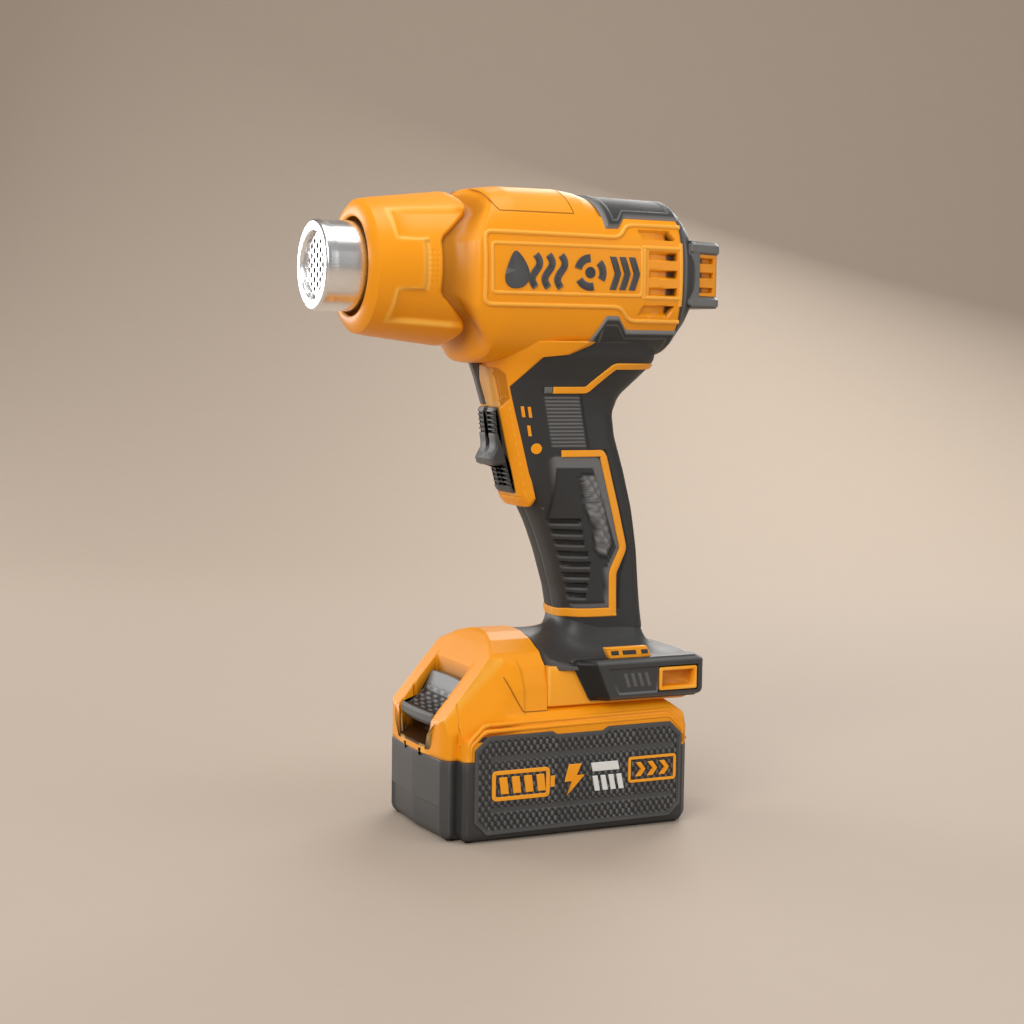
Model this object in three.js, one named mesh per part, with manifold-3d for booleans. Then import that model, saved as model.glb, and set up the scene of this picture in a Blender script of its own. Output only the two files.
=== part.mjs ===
// A cordless heat gun: nozzle and heater in front, motor and fan behind, a pistol grip with a three-position
// slide switch, and a battery pack that slides onto the foot from the front.
// Millimetres. +X is the way the hot air leaves, +Y the tool's left side, +Z up.
// The origin is the centre of the flat face that the battery pack rests on.
import * as THREE from "three";
import { ParametricGeometry } from "three/addons/geometries/ParametricGeometry.js";
import { mergeVertices } from "three/addons/utils/BufferGeometryUtils.js";
import Module from "manifold-3d";

const wasm = await Module();
wasm.setup();

// ---- driving dimensions -------------------------------------------------------------------------------------
const GAP = 0.35; // between pieces that touch
const SEAM = 0.2; // from the middle plane to each housing half
const WALL = 2.4; // moulded shell
const RUBBER = 2.2; // overmoulded grip
const AXIS_Z = 241; // height of the nozzle, heater, fan and motor axis

const NOZZLE = { tip: 107, back: 62, radius: 19, hole: 13.5, sheet: 0.8, face: 1.2 };
const GRILLE = { thick: 1.4, pitch: 5.6, hole: 1.7, rings: 2 };
const SHROUD = { front: 90, back: 46.4, mouth: 21, nose: 28, root: 32.6 };
const SLEEVE = { back: 38, radius: 16.9, thick: 0.9 };
const COIL = { back: 50, front: 92, radius: 12.7, wire: 0.8, turns: 5 };
const BLOCK = { front: 46, back: -52, half: 34, top: 277, bottom: 204 };
const MOTOR = { back: -40, front: -6, radius: 14, shaft: 1.6 };
const FAN = { back: 0, front: 12, radius: 25, hub: 7, blades: 9 };
const DUCT = { back: -10, front: 34, radius: 29, throat: 18.5 };
const NECK = { x: 20.5, z: 142, lean: THREE.MathUtils.degToRad(13.28), travel: 16 };
const FOOT = { front: 11.2, back: -62, half: 36.5, under: 71, ceiling: 74.5, skirt: 57.5 };
const PACK = { front: 58, back: -57.3, half: 37.5, split: 34.7, deck: 55, dome: 85.2 };
const CELL = { radius: 9.2, length: 65, pitch: 19, rows: [12.6, 32.2], first: -42 };

const ORANGE = 0xf59a07;
const GRAPHITE = 0x3a3b3c;
const RUBBER_BLACK = 0x2f3031;
const STEEL = 0xc9cacb;

// ---- solids -------------------------------------------------------------------------------------------------
/** A three.js geometry as a closed solid, with the triangles that have no area left out. */
function solid(geometry) {
  const bare = geometry.index ? geometry.toNonIndexed() : geometry.clone();
  bare.deleteAttribute("normal");
  bare.deleteAttribute("uv");
  const merged = mergeVertices(bare, 1e-4);
  const index = merged.index.array;
  const kept = [];
  for (let i = 0; i < index.length; i += 3) {
    const [a, b, c] = [index[i], index[i + 1], index[i + 2]];
    if (a !== b && b !== c && c !== a) kept.push(a, b, c);
  }
  const vertProperties = merged.attributes.position.array;
  const made = new wasm.Manifold(
    new wasm.Mesh({ numProp: 3, vertProperties, triVerts: new Uint32Array(kept) }),
  );
  if (made.volume() > 0) return made;
  for (let i = 0; i < kept.length; i += 3) [kept[i + 1], kept[i + 2]] = [kept[i + 2], kept[i + 1]];
  return new wasm.Manifold(
    new wasm.Mesh({ numProp: 3, vertProperties, triVerts: new Uint32Array(kept) }),
  );
}

/** One solid from many. */
const union = (...parts) => parts.reduce((all, next) => all.add(next));

/** A solid back as a three.js geometry. */
function geometryOf(made) {
  const mesh = made.getMesh();
  const geometry = new THREE.BufferGeometry();
  geometry.setAttribute("position", new THREE.BufferAttribute(mesh.vertProperties, 3));
  geometry.setIndex(new THREE.BufferAttribute(mesh.triVerts, 1));
  geometry.computeVertexNormals();
  return geometry;
}

/** A closed outline through the points, with every corner rounded by about radius. */
function outline(points, radius = 0) {
  const shape = new THREE.Shape();
  const corners = points.map(([x, y]) => new THREE.Vector2(x, y));
  corners.forEach((corner, i) => {
    const before = corners[(i + corners.length - 1) % corners.length];
    const after = corners[(i + 1) % corners.length];
    const cut = (other) => Math.min(radius, corner.distanceTo(other) * 0.45);
    const start = corner.clone().lerp(before, cut(before) / corner.distanceTo(before));
    const end = corner.clone().lerp(after, cut(after) / corner.distanceTo(after));
    if (i === 0) shape.moveTo(start.x, start.y);
    else shape.lineTo(start.x, start.y);
    if (radius > 0) shape.quadraticCurveTo(corner.x, corner.y, end.x, end.y);
  });
  shape.closePath();
  return shape;
}

/** A closed outline moved outward by a distance, or inward if it is negative. */
function spread(points, by) {
  const turn = THREE.ShapeUtils.isClockWise(points.map(([x, y]) => new THREE.Vector2(x, y))) ? 1 : -1;
  return points.map(([x, y], i) => {
    const [ax, ay] = points[(i + points.length - 1) % points.length];
    const [bx, by2] = points[(i + 1) % points.length];
    const into = new THREE.Vector2(x - ax, y - ay).normalize();
    const out = new THREE.Vector2(bx - x, by2 - y).normalize();
    const miter = new THREE.Vector2(-into.y - out.y, into.x + out.x).normalize();
    const length = (turn * by) / Math.max(0.4, miter.dot(new THREE.Vector2(-into.y, into.x)));
    return [x + miter.x * length, y + miter.y * length];
  });
}

/** A side view, drawn in x and z, made solid from y0 to y1. */
function plate(shape, y0, y1, segments = 3) {
  const flat = { depth: y1 - y0, bevelEnabled: false, curveSegments: segments };
  return solid(new THREE.ExtrudeGeometry(shape, flat).rotateX(Math.PI / 2).translate(0, y1, 0));
}

/** A top view, drawn in x and y, made solid from z0 to z1. */
function column(shape, z0, z1, segments = 3) {
  const flat = { depth: z1 - z0, bevelEnabled: false, curveSegments: segments };
  return solid(new THREE.ExtrudeGeometry(shape, flat).translate(0, 0, z0));
}

/** An end view, drawn in y and z, made solid from x0 to x1. */
function bar(shape, x0, x1, segments = 3) {
  const flat = { depth: x1 - x0, bevelEnabled: false, curveSegments: segments };
  const made = new THREE.ExtrudeGeometry(shape, flat).rotateY(Math.PI / 2).rotateX(Math.PI / 2);
  return solid(made.translate(x0, 0, 0));
}

/** A box from its lowest to its highest corner. */
function box([x0, y0, z0], [x1, y1, z1]) {
  const made = new THREE.BoxGeometry(x1 - x0, y1 - y0, z1 - z0);
  return solid(made.translate((x0 + x1) / 2, (y0 + y1) / 2, (z0 + z1) / 2));
}

/** A closed profile of [x, radius] points turned about the nozzle axis. */
function turned(profile, segments = 32) {
  const points = [...profile, profile[0]].map(([x, r]) => new THREE.Vector2(r, x));
  const made = new THREE.LatheGeometry(points, segments).rotateZ(-Math.PI / 2);
  return solid(made.translate(0, 0, AXIS_Z));
}

/** A round rod along Y. */
function pinY(x, z, radius, y0, y1, segments = 12) {
  const made = new THREE.CylinderGeometry(radius, radius, y1 - y0, segments);
  return solid(made.translate(x, (y0 + y1) / 2, z));
}

/** A round rod along the nozzle axis, at height and offset from it. */
function pinX(x0, x1, radius, segments = 16, y = 0, z = AXIS_Z) {
  const made = new THREE.CylinderGeometry(radius, radius, x1 - x0, segments).rotateZ(Math.PI / 2);
  return solid(made.translate((x0 + x1) / 2, y, z));
}

/** The half of a solid on the left (side 1) or on the right (side -1) of the middle plane. */
function half(made, side, from = SEAM) {
  const far = 120;
  const keep =
    side > 0 ? box([-far, from, -20], [140, far, 300]) : box([-far, -far, -20], [140, -from, 300]);
  return made.intersect(keep);
}

/** The same solid on the other side of the middle plane. */
function mirrored(made) {
  const turn = new THREE.Matrix4().makeScale(1, -1, 1);
  return solid(geometryOf(made).applyMatrix4(turn).toNonIndexed());
}

/** A solid drawn beside the switch track (z up the track, x out of it) put where the track is. */
function onNeck(made) {
  return solid(geometryOf(made).toNonIndexed().rotateY(NECK.lean).translate(NECK.x, 0, NECK.z));
}

// ---- envelopes that several pieces share --------------------------------------------------------------------
/** The barrel-like main block, drawn in by inset. */
function blockEnvelope(inset) {
  const { front, back, half: wide, top, bottom } = BLOCK;
  const w = wide - inset;
  const z0 = bottom + inset;
  const z1 = top - inset;
  const section = outline([
    [w, z0 + 18], [w - 2.6, z0 + 7], [w - 6, z0], [6 - w, z0], [2.6 - w, z0 + 7], [-w, z0 + 18],
    [-w, z1 - 25], [-w * 0.92, z1 - 15], [-w * 0.72, z1 - 6.5], [-w * 0.4, z1 - 1.2], [0, z1],
    [w * 0.4, z1 - 1.2], [w * 0.72, z1 - 6.5], [w * 0.92, z1 - 15], [w, z1 - 25],
  ], 2.5);
  const side = outline(
    [
      [back, bottom], [front - 3, 201 + inset], [front, 208], [front, z1 - 6], [front - 3, z1],
      [2, z1], [-12, z1 - 3.5], [back, z1 - 4],
    ],
    3,
  );
  const ends = box([back + inset, -wide, 190], [front - inset, wide, 290]);
  return bar(section, back - 1, front + 1, 1).intersect(plate(side, -wide, wide)).intersect(ends);
}

/** Height, front, back and half width of the neck and grip, from the foot up into the block. */
const HANDLE_ROWS = [
  [77, -8.5, -49, 17], [84, -8.3, -48.6, 17], [92, -7.4, -47.4, 16.8], [102.4, -5.4, -46.4, 16.6],
  [118.3, -0.6, -45.1, 17], [128, 3, -43.6, 17.4], [138, 7, -41.8, 18], [139.4, 13.2, -41.4, 18],
  [143.5, 16.1, -40.4, 18.2], [154.5, 18.7, -37.5, 18.6], [170, 22.4, -32.4, 19], [180, 24.7, -31, 19.2],
  [187.5, 26.5, -34, 19.8], [194.5, 28.2, -42, 21.6], [201, 29.6, -49, 24.6], [206, 30.4, -51, 27.6],
  [212, 31, -51, 30],
];

/** The neck and pistol grip, drawn in by inset: rounded sections lofted from the foot to the block. */
function handleEnvelope(inset) {
  const around = 20;
  const last = HANDLE_ROWS.length + 1;
  const surface = (u, v, target) => {
    const step = Math.round(v * last);
    const [z, front, back, wide] = HANDLE_ROWS[Math.min(Math.max(step - 1, 0), HANDLE_ROWS.length - 1)];
    const shrink = step === 0 || step === last ? 0 : 1;
    const turn = 2 * Math.PI * u;
    const bulge = (value) => shrink * Math.sign(value) * Math.abs(value) ** 0.62;
    const x = (front + back) / 2 + ((front - back) / 2 - inset) * bulge(Math.cos(turn));
    target.set(x, (wide - inset) * bulge(Math.sin(turn)), z);
  };
  return solid(new ParametricGeometry(surface, around, last));
}

/** The foot that carries the battery pack, drawn in by inset. */
function footEnvelope(inset) {
  const w = FOOT.half - inset;
  const z0 = FOOT.under;
  const section = outline(
    [[w, z0], [w, 74 - inset], [w - 3, 77.5 - inset], [26, 80.5 - inset], [14, 83.6 - inset],
      [0, 84.6 - inset], [-14, 83.6 - inset], [-26, 80.5 - inset], [3 - w, 77.5 - inset],
      [-w, 74 - inset], [-w, z0]],
    1,
  );
  const side = outline([
    [FOOT.front - inset, z0], [FOOT.front - inset, 90], [-44, 90], [-51, 82.5 - inset], [-57 + inset, 77.5],
    [FOOT.back + inset, 75 - inset], [FOOT.back + inset, z0],
  ]);
  return bar(section, FOOT.back, 30).intersect(plate(side, -60, 60));
}

const NECK_SIDE = outline([
  [60, 215], [60, 190], [30, 130], [12.5, 138], [9.4, 143], [22.4, 191.5], [11.2, 204.3], [0, 205], [-9, 209.4],
  [-9, 220], [60, 220],
]);

/** The line that shows the orange shell through the grip, as a band of the given width in side view. */
function stripe(points, width) {
  const sides = [1, -1].map((side) =>
    points.map(([x, z], i) => {
      const [ax, az] = points[Math.max(i - 1, 0)];
      const [bx, bz] = points[Math.min(i + 1, points.length - 1)];
      const along = new THREE.Vector2(bx - ax, bz - az).normalize();
      return [x - (side * along.y * width) / 2, z + (side * along.x * width) / 2];
    }),
  );
  return outline([...sides[0], ...sides[1].reverse()]);
}

const STRIPES = [
  [[4, 190.2], [-11.6, 190.3], [-23.6, 200.7], [-60, 200.9]],
  [[-1, 162.7], [-21.4, 162.7], [-33.2, 120.5], [-28.2, 110], [-28.4, 92], [10, 92]],
];

/** Both stripes, each cut out of the grip wider than the shell's own rib by GAP on each side. */
function stripes(extra) {
  return union(...STRIPES.map((points) => plate(stripe(points, 3.4 + extra), -40, 40)));
}

const TOP_GUARD_SIDE = [
  [-13, 282], [-13, 259], [-20, 258.6], [-24.5, 263.6], [-56, 263.6], [-56, 282],
];
const BOTTOM_GUARD_SIDE = [
  [-8.5, 209], [-15, 222], [-20, 222], [-25, 216.4], [-56, 216.4], [-56, 209],
];

// ---- heater end ---------------------------------------------------------------------------------------------
/** A rolled steel tube whose front is turned in to a flat ring. */
function nozzleTube() {
  const { tip, back, radius: r, hole, sheet, face } = NOZZLE;
  return turned([
    [tip, hole], [tip, r - 1.6], [tip - 0.5, r - 0.5], [tip - 1.6, r], [back, r], [back, r - sheet],
    [tip - face, r - sheet], [tip - face, hole],
  ]);
}

/** The perforated disc behind the nozzle's mouth. */
function nozzleGrille() {
  const front = NOZZLE.tip - NOZZLE.face - GAP;
  let disc = pinX(front - GRILLE.thick, front, NOZZLE.radius - NOZZLE.sheet - GAP, 32);
  for (let q = -GRILLE.rings; q <= GRILLE.rings; q += 1)
    for (let r = -GRILLE.rings; r <= GRILLE.rings; r += 1) {
      if (Math.abs(q + r) > GRILLE.rings) continue;
      const y = GRILLE.pitch * q * Math.cos(Math.PI / 6);
      const z = AXIS_Z + GRILLE.pitch * (r + q / 2);
      disc = disc.subtract(pinX(front - 5, front + 5, GRILLE.hole, 6, y, z));
    }
  return disc;
}

/** The moulded barrel around the nozzle, open at both ends. */
function frontShroud() {
  const { front, back, mouth, nose, root } = SHROUD;
  return turned([
    [front, mouth + 0.6], [front - 1.4, nose - 1.6], [front - 3, nose], [back, root],
    [back, root - WALL], [front - 6, nose - WALL], [front - 5, mouth], [front - 1, mouth],
  ]);
}

/** The mica tube that keeps the heat off the shell. */
function heaterSleeve() {
  const front = NOZZLE.tip - NOZZLE.face - GAP - GRILLE.thick - GAP;
  const { back, radius: r, thick } = SLEEVE;
  return turned([[front, r], [back, r], [back, r - thick], [front, r - thick]]);
}

/** Three crossed ceramic plates that the coil is wound on. */
function heaterCore() {
  const reach = COIL.radius - COIL.wire - GAP;
  const arms = [0, 1, 2].map((i) => {
    const arm = new THREE.BoxGeometry(COIL.front - COIL.back + 8, 2 * reach, 1.6);
    arm.rotateX((i * Math.PI) / 3).translate((COIL.front + COIL.back) / 2, 0, AXIS_Z);
    return solid(arm);
  });
  return union(...arms);
}

/** The resistance wire, wound as one open helix. */
function heatingCoil() {
  class Helix extends THREE.Curve {
    getPoint(t, target = new THREE.Vector3()) {
      const turn = 2 * Math.PI * COIL.turns * t;
      const x = COIL.back + (COIL.front - COIL.back) * t;
      return target.set(x, COIL.radius * Math.cos(turn), AXIS_Z + COIL.radius * Math.sin(turn));
    }
  }
  const section = new THREE.Shape().absarc(0, 0, COIL.wire, 0, 2 * Math.PI);
  const options = { steps: COIL.turns * 12, curveSegments: 2, extrudePath: new Helix(), bevelEnabled: false };
  return solid(new THREE.ExtrudeGeometry(section, options));
}

/** The round bimetal cut-out between the fan and the heater. */
function thermalCutout() {
  return union(pinX(40, 43, 6, 16), pinX(39, 41, 3.5, 12));
}

// ---- motor and fan ------------------------------------------------------------------------------------------
/** The duct that leads the air to the heater and holds the motor on three arms. */
function fanDuct() {
  const { back, front, radius: r, throat } = DUCT;
  const shell = turned([[back, r], [18, r], [front, throat + 1.8], [front, throat], [17, r - 1.8], [back, r - 1.8]]);
  const hub = turned([[back, MOTOR.radius + 2.4], [-3, MOTOR.radius + 2.4], [-3, 3], [-5, 3],
    [-5, MOTOR.radius + GAP], [back, MOTOR.radius + GAP]], 24);
  const arms = [0, 1, 2].map((i) => {
    const reach = r - MOTOR.radius - 2;
    const arm = new THREE.BoxGeometry(6, reach, 2.4).translate(0, MOTOR.radius + 1.6 + reach / 2, 0);
    return solid(arm.rotateX((i * 2 * Math.PI) / 3).translate(back + 3, 0, AXIS_Z));
  });
  return union(shell, hub, ...arms);
}

/** The motor's steel can, with the bore that its shaft turns in. */
function motorCan() {
  const { back, front, radius: r, shaft } = MOTOR;
  return turned([[back, 0], [back, r - 2], [back + 2, r], [front, r], [front, shaft + 0.5],
    [front - 12, shaft + 0.5], [front - 12, 0]], 24);
}

/** The axial fan: a hub and pitched blades. */
function fanImpeller() {
  const { back, front, radius: r, hub, blades } = FAN;
  let fan = turned([[back, MOTOR.shaft + GAP], [back, hub], [front - 2, hub], [front, hub - 2], [front, MOTOR.shaft + GAP]], 20);
  for (let i = 0; i < blades; i += 1) {
    const blade = new THREE.BoxGeometry(1.4, r - hub + 1.5, front - back + 1);
    blade.rotateY(THREE.MathUtils.degToRad(42)).translate(0, (r + hub) / 2 - 0.7, 0);
    blade.rotateX((i * 2 * Math.PI) / blades).translate((back + front) / 2, 0, AXIS_Z);
    fan = fan.add(solid(blade));
  }
  const band = turned([[back + 0.5, 0.5], [back + 0.5, r], [front - 0.5, r], [front - 0.5, 0.5]], 28);
  return fan.intersect(band).subtract(pinX(back - 1, front + 1, MOTOR.shaft + GAP, 12));
}

// ---- shell --------------------------------------------------------------------------------------------------
const BOSSES = [[41, 266], [41, 214], [-46, 265], [-46, 211.4], [-18, 182], [-30, 92]];
const SCREW = { head: 3, headLength: 2.4, shank: 1.4, length: 26, face: -13.8 };

/** Rows of narrow slots through both sides of the block, behind the side panel. */
function sideVents() {
  const rows = [-15.5, -8, 0, 8, 15.5];
  return union(...rows.map((row) => {
    const z = AXIS_Z + row;
    const [x0, x1] = Math.abs(row) > 12 ? [-46, -32] : [-48, -36];
    return box([x0, -60, z - 1.5], [x1, 60, z + 1.5]);
  }));
}

/** What the switch, its track and the work light take out of the neck. */
function neckCuts() {
  const track = onNeck(box([-9.5, -9.2, 1.4], [30, 9.2, 57.6]));
  const slot = onNeck(box([-16, -2.4, 10], [0, 2.4, 44]));
  return union(track, slot);
}

/** The foot's rails, which hold the pack from below. */
function footSkirt() {
  const section = outline([
    [33.6, FOOT.under + 1], [33.6, 70.6], [35, 70.6], [35, FOOT.skirt], [27, FOOT.skirt], [27, 60.4],
    [31, 60.4], [31, FOOT.under + 1],
  ]);
  return bar(section, FOOT.back + 1, FOOT.front - GAP);
}

/** One half of the orange shell, for side 1 (left) or -1 (right). */
function housingHalf(side) {
  const outer = union(
    blockEnvelope(0),
    handleEnvelope(RUBBER + GAP).subtract(box([-80, -40, 60], [60, 40, 80])),
    handleEnvelope(0).intersect(plate(NECK_SIDE, -40, 40)),
    handleEnvelope(0.2).intersect(stripes(0)),
    footEnvelope(RUBBER + GAP),
  );
  const hollow = union(
    blockEnvelope(WALL).intersect(box([-12, -60, 190], [60, 60, 290])),
    blockEnvelope(WALL + RUBBER + GAP),
    handleEnvelope(RUBBER + GAP + WALL),
    box([FOOT.back + 5, -30.6, 50], [8, 30.6, FOOT.ceiling]),
  );
  const throat = pinX(BLOCK.front - 6, BLOCK.front + 2, SHROUD.root - WALL, 32);
  const tail = box([BLOCK.back - 1, -28, AXIS_Z - 28], [BLOCK.back + 5, 28, AXIS_Z + 28]);
  const guards = union(
    plate(outline(spread(TOP_GUARD_SIDE, GAP)), -60, 60),
    plate(outline(spread(BOTTOM_GUARD_SIDE, GAP)), -60, 60),
  ).subtract(blockEnvelope(RUBBER + GAP)).subtract(box([-60, -18.3, 195], [0, 18.3, 215]));
  const bosses = union(...BOSSES.map(([x, z]) => pinY(x, z, 3.6, -14.5, 14.5, 10)));
  const bossSpace = union(handleEnvelope(RUBBER + GAP), blockEnvelope(0.3), footEnvelope(RUBBER + GAP));
  const screws = union(...BOSSES.map(([x, z]) => union(
    pinY(x, z, SCREW.shank + GAP, -40, SCREW.face + SCREW.length + 0.5, 8),
    pinY(x, z, SCREW.head + GAP, -40, SCREW.face + SCREW.headLength, 10),
  )));
  const skirt = side > 0 ? footSkirt() : mirrored(footSkirt());
  return half(
    outer.subtract(hollow).subtract(throat).subtract(tail).add(bosses.intersect(bossSpace)).subtract(screws)
      .subtract(guards).subtract(sideVents()).subtract(neckCuts()),
    side,
  ).add(half(skirt, side)).add(half(box([6.2, -6, 66.4], [8.6, 6, FOOT.ceiling + 0.5]), side));
}

/** One half of the rubber grip that is moulded over the handle and the foot. */
function gripHalf(side) {
  const handle = handleEnvelope(0).subtract(box([-80, -40, 60], [60, 40, 83]));
  const skin = union(handle, footEnvelope(0))
    .subtract(union(handleEnvelope(RUBBER), footEnvelope(RUBBER), blockEnvelope(-GAP)))
    .subtract(plate(NECK_SIDE, -40, 40))
    .subtract(stripes(2 * GAP))
    .subtract(box([FOOT.back - 1, -40, 50], [0.5, 40, FOOT.under + 4.4]))
    .subtract(box([0, -40, 50], [40, 40, FOOT.under + 1.4]))
    .subtract(plate(outline(WINDOW_SIDE), -60, 60));
  const pieces = half(skin, side, SEAM).decompose();
  return pieces.sort((a, b) => b.volume() - a.volume())[0];
}

const WINDOW_SIDE = [[-37.8, 75], [-16, 75], [-14.5, 79.5], [-36.5, 79.5]];

/** The orange light-pipe frame set into the foot's shoulder, with its three little windows. */
function windowInsert(side) {
  const frame = footEnvelope(0.1)
    .subtract(footEnvelope(RUBBER - 0.1))
    .intersect(plate(outline([[-37.2, 75.4], [-16.3, 75.4], [-15, 79.1], [-36.1, 79.1]]), 20, 60));
  const windows = union(
    box([-35.4, 20, 76.4], [-32, 60, 78]),
    box([-30, 20, 76.4], [-22.6, 60, 78]),
    box([-20.6, 20, 76.4], [-17.4, 60, 78]),
  );
  const left = frame.subtract(windows);
  return side > 0 ? left : mirrored(left);
}

/** A rubber saddle over the shell's top or bottom rear corner. */
function guard(points, top) {
  const skin = blockEnvelope(0.1).subtract(blockEnvelope(RUBBER));
  const shape = plate(outline(points), -60, 60);
  const trimmed = skin.intersect(shape).subtract(box([-90, -60, 150], [BLOCK.back + 0.5, 60, 300]));
  return top ? trimmed : trimmed.subtract(box([-60, -18.9, 195], [0, 18.9, 215]));
}

// ---- rear end -----------------------------------------------------------------------------------------------
const CAP_SIDE = [
  [-52.4, 273], [-58, 272.5], [-62.3, 271], [-66, 263], [-68, 258], [-68, 224], [-66, 218], [-60, 211.5],
  [-56.7, 207.5], [-52.4, 207],
];
const TAIL = { back: -78, low: 226.6, high: 255.6 };

/** The tapered tail, drawn in by inset: a chamfered ring, and the block between the bars behind it. */
function tailEnvelope(inset) {
  const w = 33 - inset;
  const ringTop = [[-52.4, w], [-57, w - 0.5], [-62, w - 7], [-66, w - 15], [-68 + inset, w - 24]];
  const barTop = [[-52.4, w], [-57, w - 1.5], [-60, w - 4], [-73.5 + inset, w - 8.5], [TAIL.back + 1.2 + inset, w - 12.5],
    [TAIL.back + inset, w - 19]];
  const both = (points) => outline([...points, ...points.map(([x, y]) => [x, -y]).reverse()]);
  const side = plate(outline(CAP_SIDE.map(([x, z]) => [
    Math.max(x, -68 + inset), z + (z > AXIS_Z ? -inset : inset),
  ])), -60, 60);
  const section = outline([
    [w - 4, 207 + inset], [4 - w, 207 + inset], [-w, 216], [-w, 252], [-w * 0.92, 261 - inset / 2],
    [-w * 0.72, 268.5 - inset], [-w * 0.4, 272.2 - inset], [w * 0.4, 272.2 - inset], [w * 0.72, 268.5 - inset],
    [w * 0.92, 261 - inset / 2], [w, 252], [w, 216],
  ]);
  const ring = column(both(ringTop), 200, 280).intersect(side).intersect(bar(section, -80, -50));
  return ring.add(column(both(barTop), TAIL.low + inset, TAIL.high - inset));
}

const GRILLE_BAND = { low: 232, high: 250, front: -60.5 };

/** The dark tail cover, whose top and bottom bars guard the air intake. */
function rearCap() {
  const { low, high, front } = GRILLE_BAND;
  return tailEnvelope(0)
    .subtract(tailEnvelope(WALL))
    .subtract(box([-60, -26, AXIS_Z - 26], [-52, 26, AXIS_Z + 26]))
    .subtract(box([-90, -60, low], [front, 60, high]));
}

/** The orange slotted band between the bars. */
function rearGrille() {
  const { low, high, front } = GRILLE_BAND;
  const band = box([-90, -60, low + GAP], [front - GAP, 60, high - GAP]);
  const shell = tailEnvelope(0.5).subtract(tailEnvelope(WALL)).intersect(band);
  const rows = [-6.2, 0, 6.2].map((row) =>
    union(
      box([-67.5, -60, AXIS_Z + row - 1.3], [-62.5, 60, AXIS_Z + row + 1.3]),
      box([-90, -16, AXIS_Z + row - 1.3], [-70, 16, AXIS_Z + row + 1.3]),
    ),
  );
  const ribs = union(...[-8, 0, 8].map((y) => box([-78 + 0.6, y - 0.9, low + GAP], [-76, y + 0.9, high - GAP])));
  return shell.subtract(union(...rows)).add(ribs);
}

// ---- switch and light ---------------------------------------------------------------------------------------
/** The slider: two ribbed pads and the finger stop between them, with the tongue that works the switch. */
function switchSlider() {
  const side = outline([
    [-8.8, 2], [-4.4, 2], [-3.5, 4], [-3.7, 15.2], [2.4, 16.4], [2.8, 20.5], [0.4, 24.5], [-0.2, 28],
    [-2.2, 36], [-2.6, 40.4], [-8.8, 40.4],
  ]);
  const body = plate(side, -8.8, 8.8);
  let pads = body;
  for (let i = 0; i < 5; i += 1) {
    pads = pads.subtract(box([-4.6, -20, 5 + i * 2], [5, 20, 5.8 + i * 2]));
    pads = pads.subtract(box([-3.4, -20, 29.5 + i * 2], [5, 20, 30.3 + i * 2]));
  }
  const groove = box([-4.6, -3.4, 25.5], [5, 3.4, 45]);
  return onNeck(union(pads.subtract(groove), box([-15.4, -1.6, 12], [-8.5, 1.6, 26])));
}

/** The switch that the tongue slides in, behind the track. */
function switchModule() {
  const body = box([-24, -8, 4], [-13, 8, 48]);
  return onNeck(body.subtract(box([-16.2, -2.2, 9], [-10, 2.2, 45])));
}

/** The dark strip under the chin that runs in the slider's groove. */
function switchGuide() {
  const side = outline([[30.6, 203.6], [35.6, 203.6], [28.6, 183.4], [27, 183.4], [30.6, 194.5]]);
  return plate(side, -2.8, 2.8);
}

// ---- electrics in the handle and foot -----------------------------------------------------------------------
/** The board that sets the heat and the fan speed, standing in the grip. */
function controlBoard() {
  const side = outline([[-8, 138], [-28, 138], [-36, 98], [-16, 98]]);
  const board = plate(side, -0.8, 0.8);
  const parts = union(
    box([-26, 0.5, 116], [-16, 6, 126]), box([-28, 0.5, 103], [-22, 4, 110]), pinY(-16, 130, 3.4, 0.5, 8, 10),
  );
  return union(board, parts);
}

/** The block that carries the tool's two battery blades. */
function terminalBlock() {
  return box([-54, -17, 62.5], [-44, 17, 73.8]).subtract(
    union(box([-56, -11.4, 64], [-43, -8.6, 71]), box([-56, 8.6, 64], [-43, 11.4, 71])),
  );
}

/** One battery blade, for side 1 (left) or -1 (right). */
function terminalBlade(side) {
  return box([-53, side * 10 - 0.5, 64.4], [-34, side * 10 + 0.5, 70.6]);
}

// ---- foot bumpers -------------------------------------------------------------------------------------------
const BUMPER_SIDE = [[1.5, 75], [-8, 57], [-61, 57.6], [-62.5, 59.5], [-62.5, 72.5], [-61, 74.6]];
const SOCKET = { x0: -58.6, x1: -39.6, z0: 60.4, z1: 70.4, depth: 5.2 };
const BUMPER = { inner: 35.4, outer: 41 };

/** The bar along the foot's side, with its recessed panel and the pocket for the orange socket. */
function footBumper(side) {
  const { x0, x1, z0, z1 } = SOCKET;
  const made = plate(outline(BUMPER_SIDE), BUMPER.inner, BUMPER.outer)
    .subtract(column(outline([[20, 36], [1.5, 36], [-12, 41.2], [-12, 60], [20, 60]]), 50, 80))
    .subtract(plate(outline([[-14.4, 70.8], [-38.4, 70.8], [-38.4, 60.2], [-20, 60.2]]), 40.2, 50))
    .subtract(box([x0, BUMPER.inner - 1, z0], [x1, 60, z1]))
    .subtract(footEnvelope(-GAP));
  return side > 0 ? made : mirrored(made);
}

/** The orange cup in the bumper that takes a hook or lanyard. */
function socketInsert(side) {
  const { x0, x1, z0, z1, depth } = SOCKET;
  const rim = GAP + 0.05;
  const outside = box([x0 + rim, BUMPER.inner, z0 + rim], [x1 - rim, BUMPER.outer, z1 - rim]);
  const pocket = box([x0 + 1.6, BUMPER.outer - depth + 0.4, z0 + 1.6], [x1 - 1.6, 60, z1 - 1.6]);
  const made = outside.subtract(pocket);
  return side > 0 ? made : mirrored(made);
}

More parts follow.
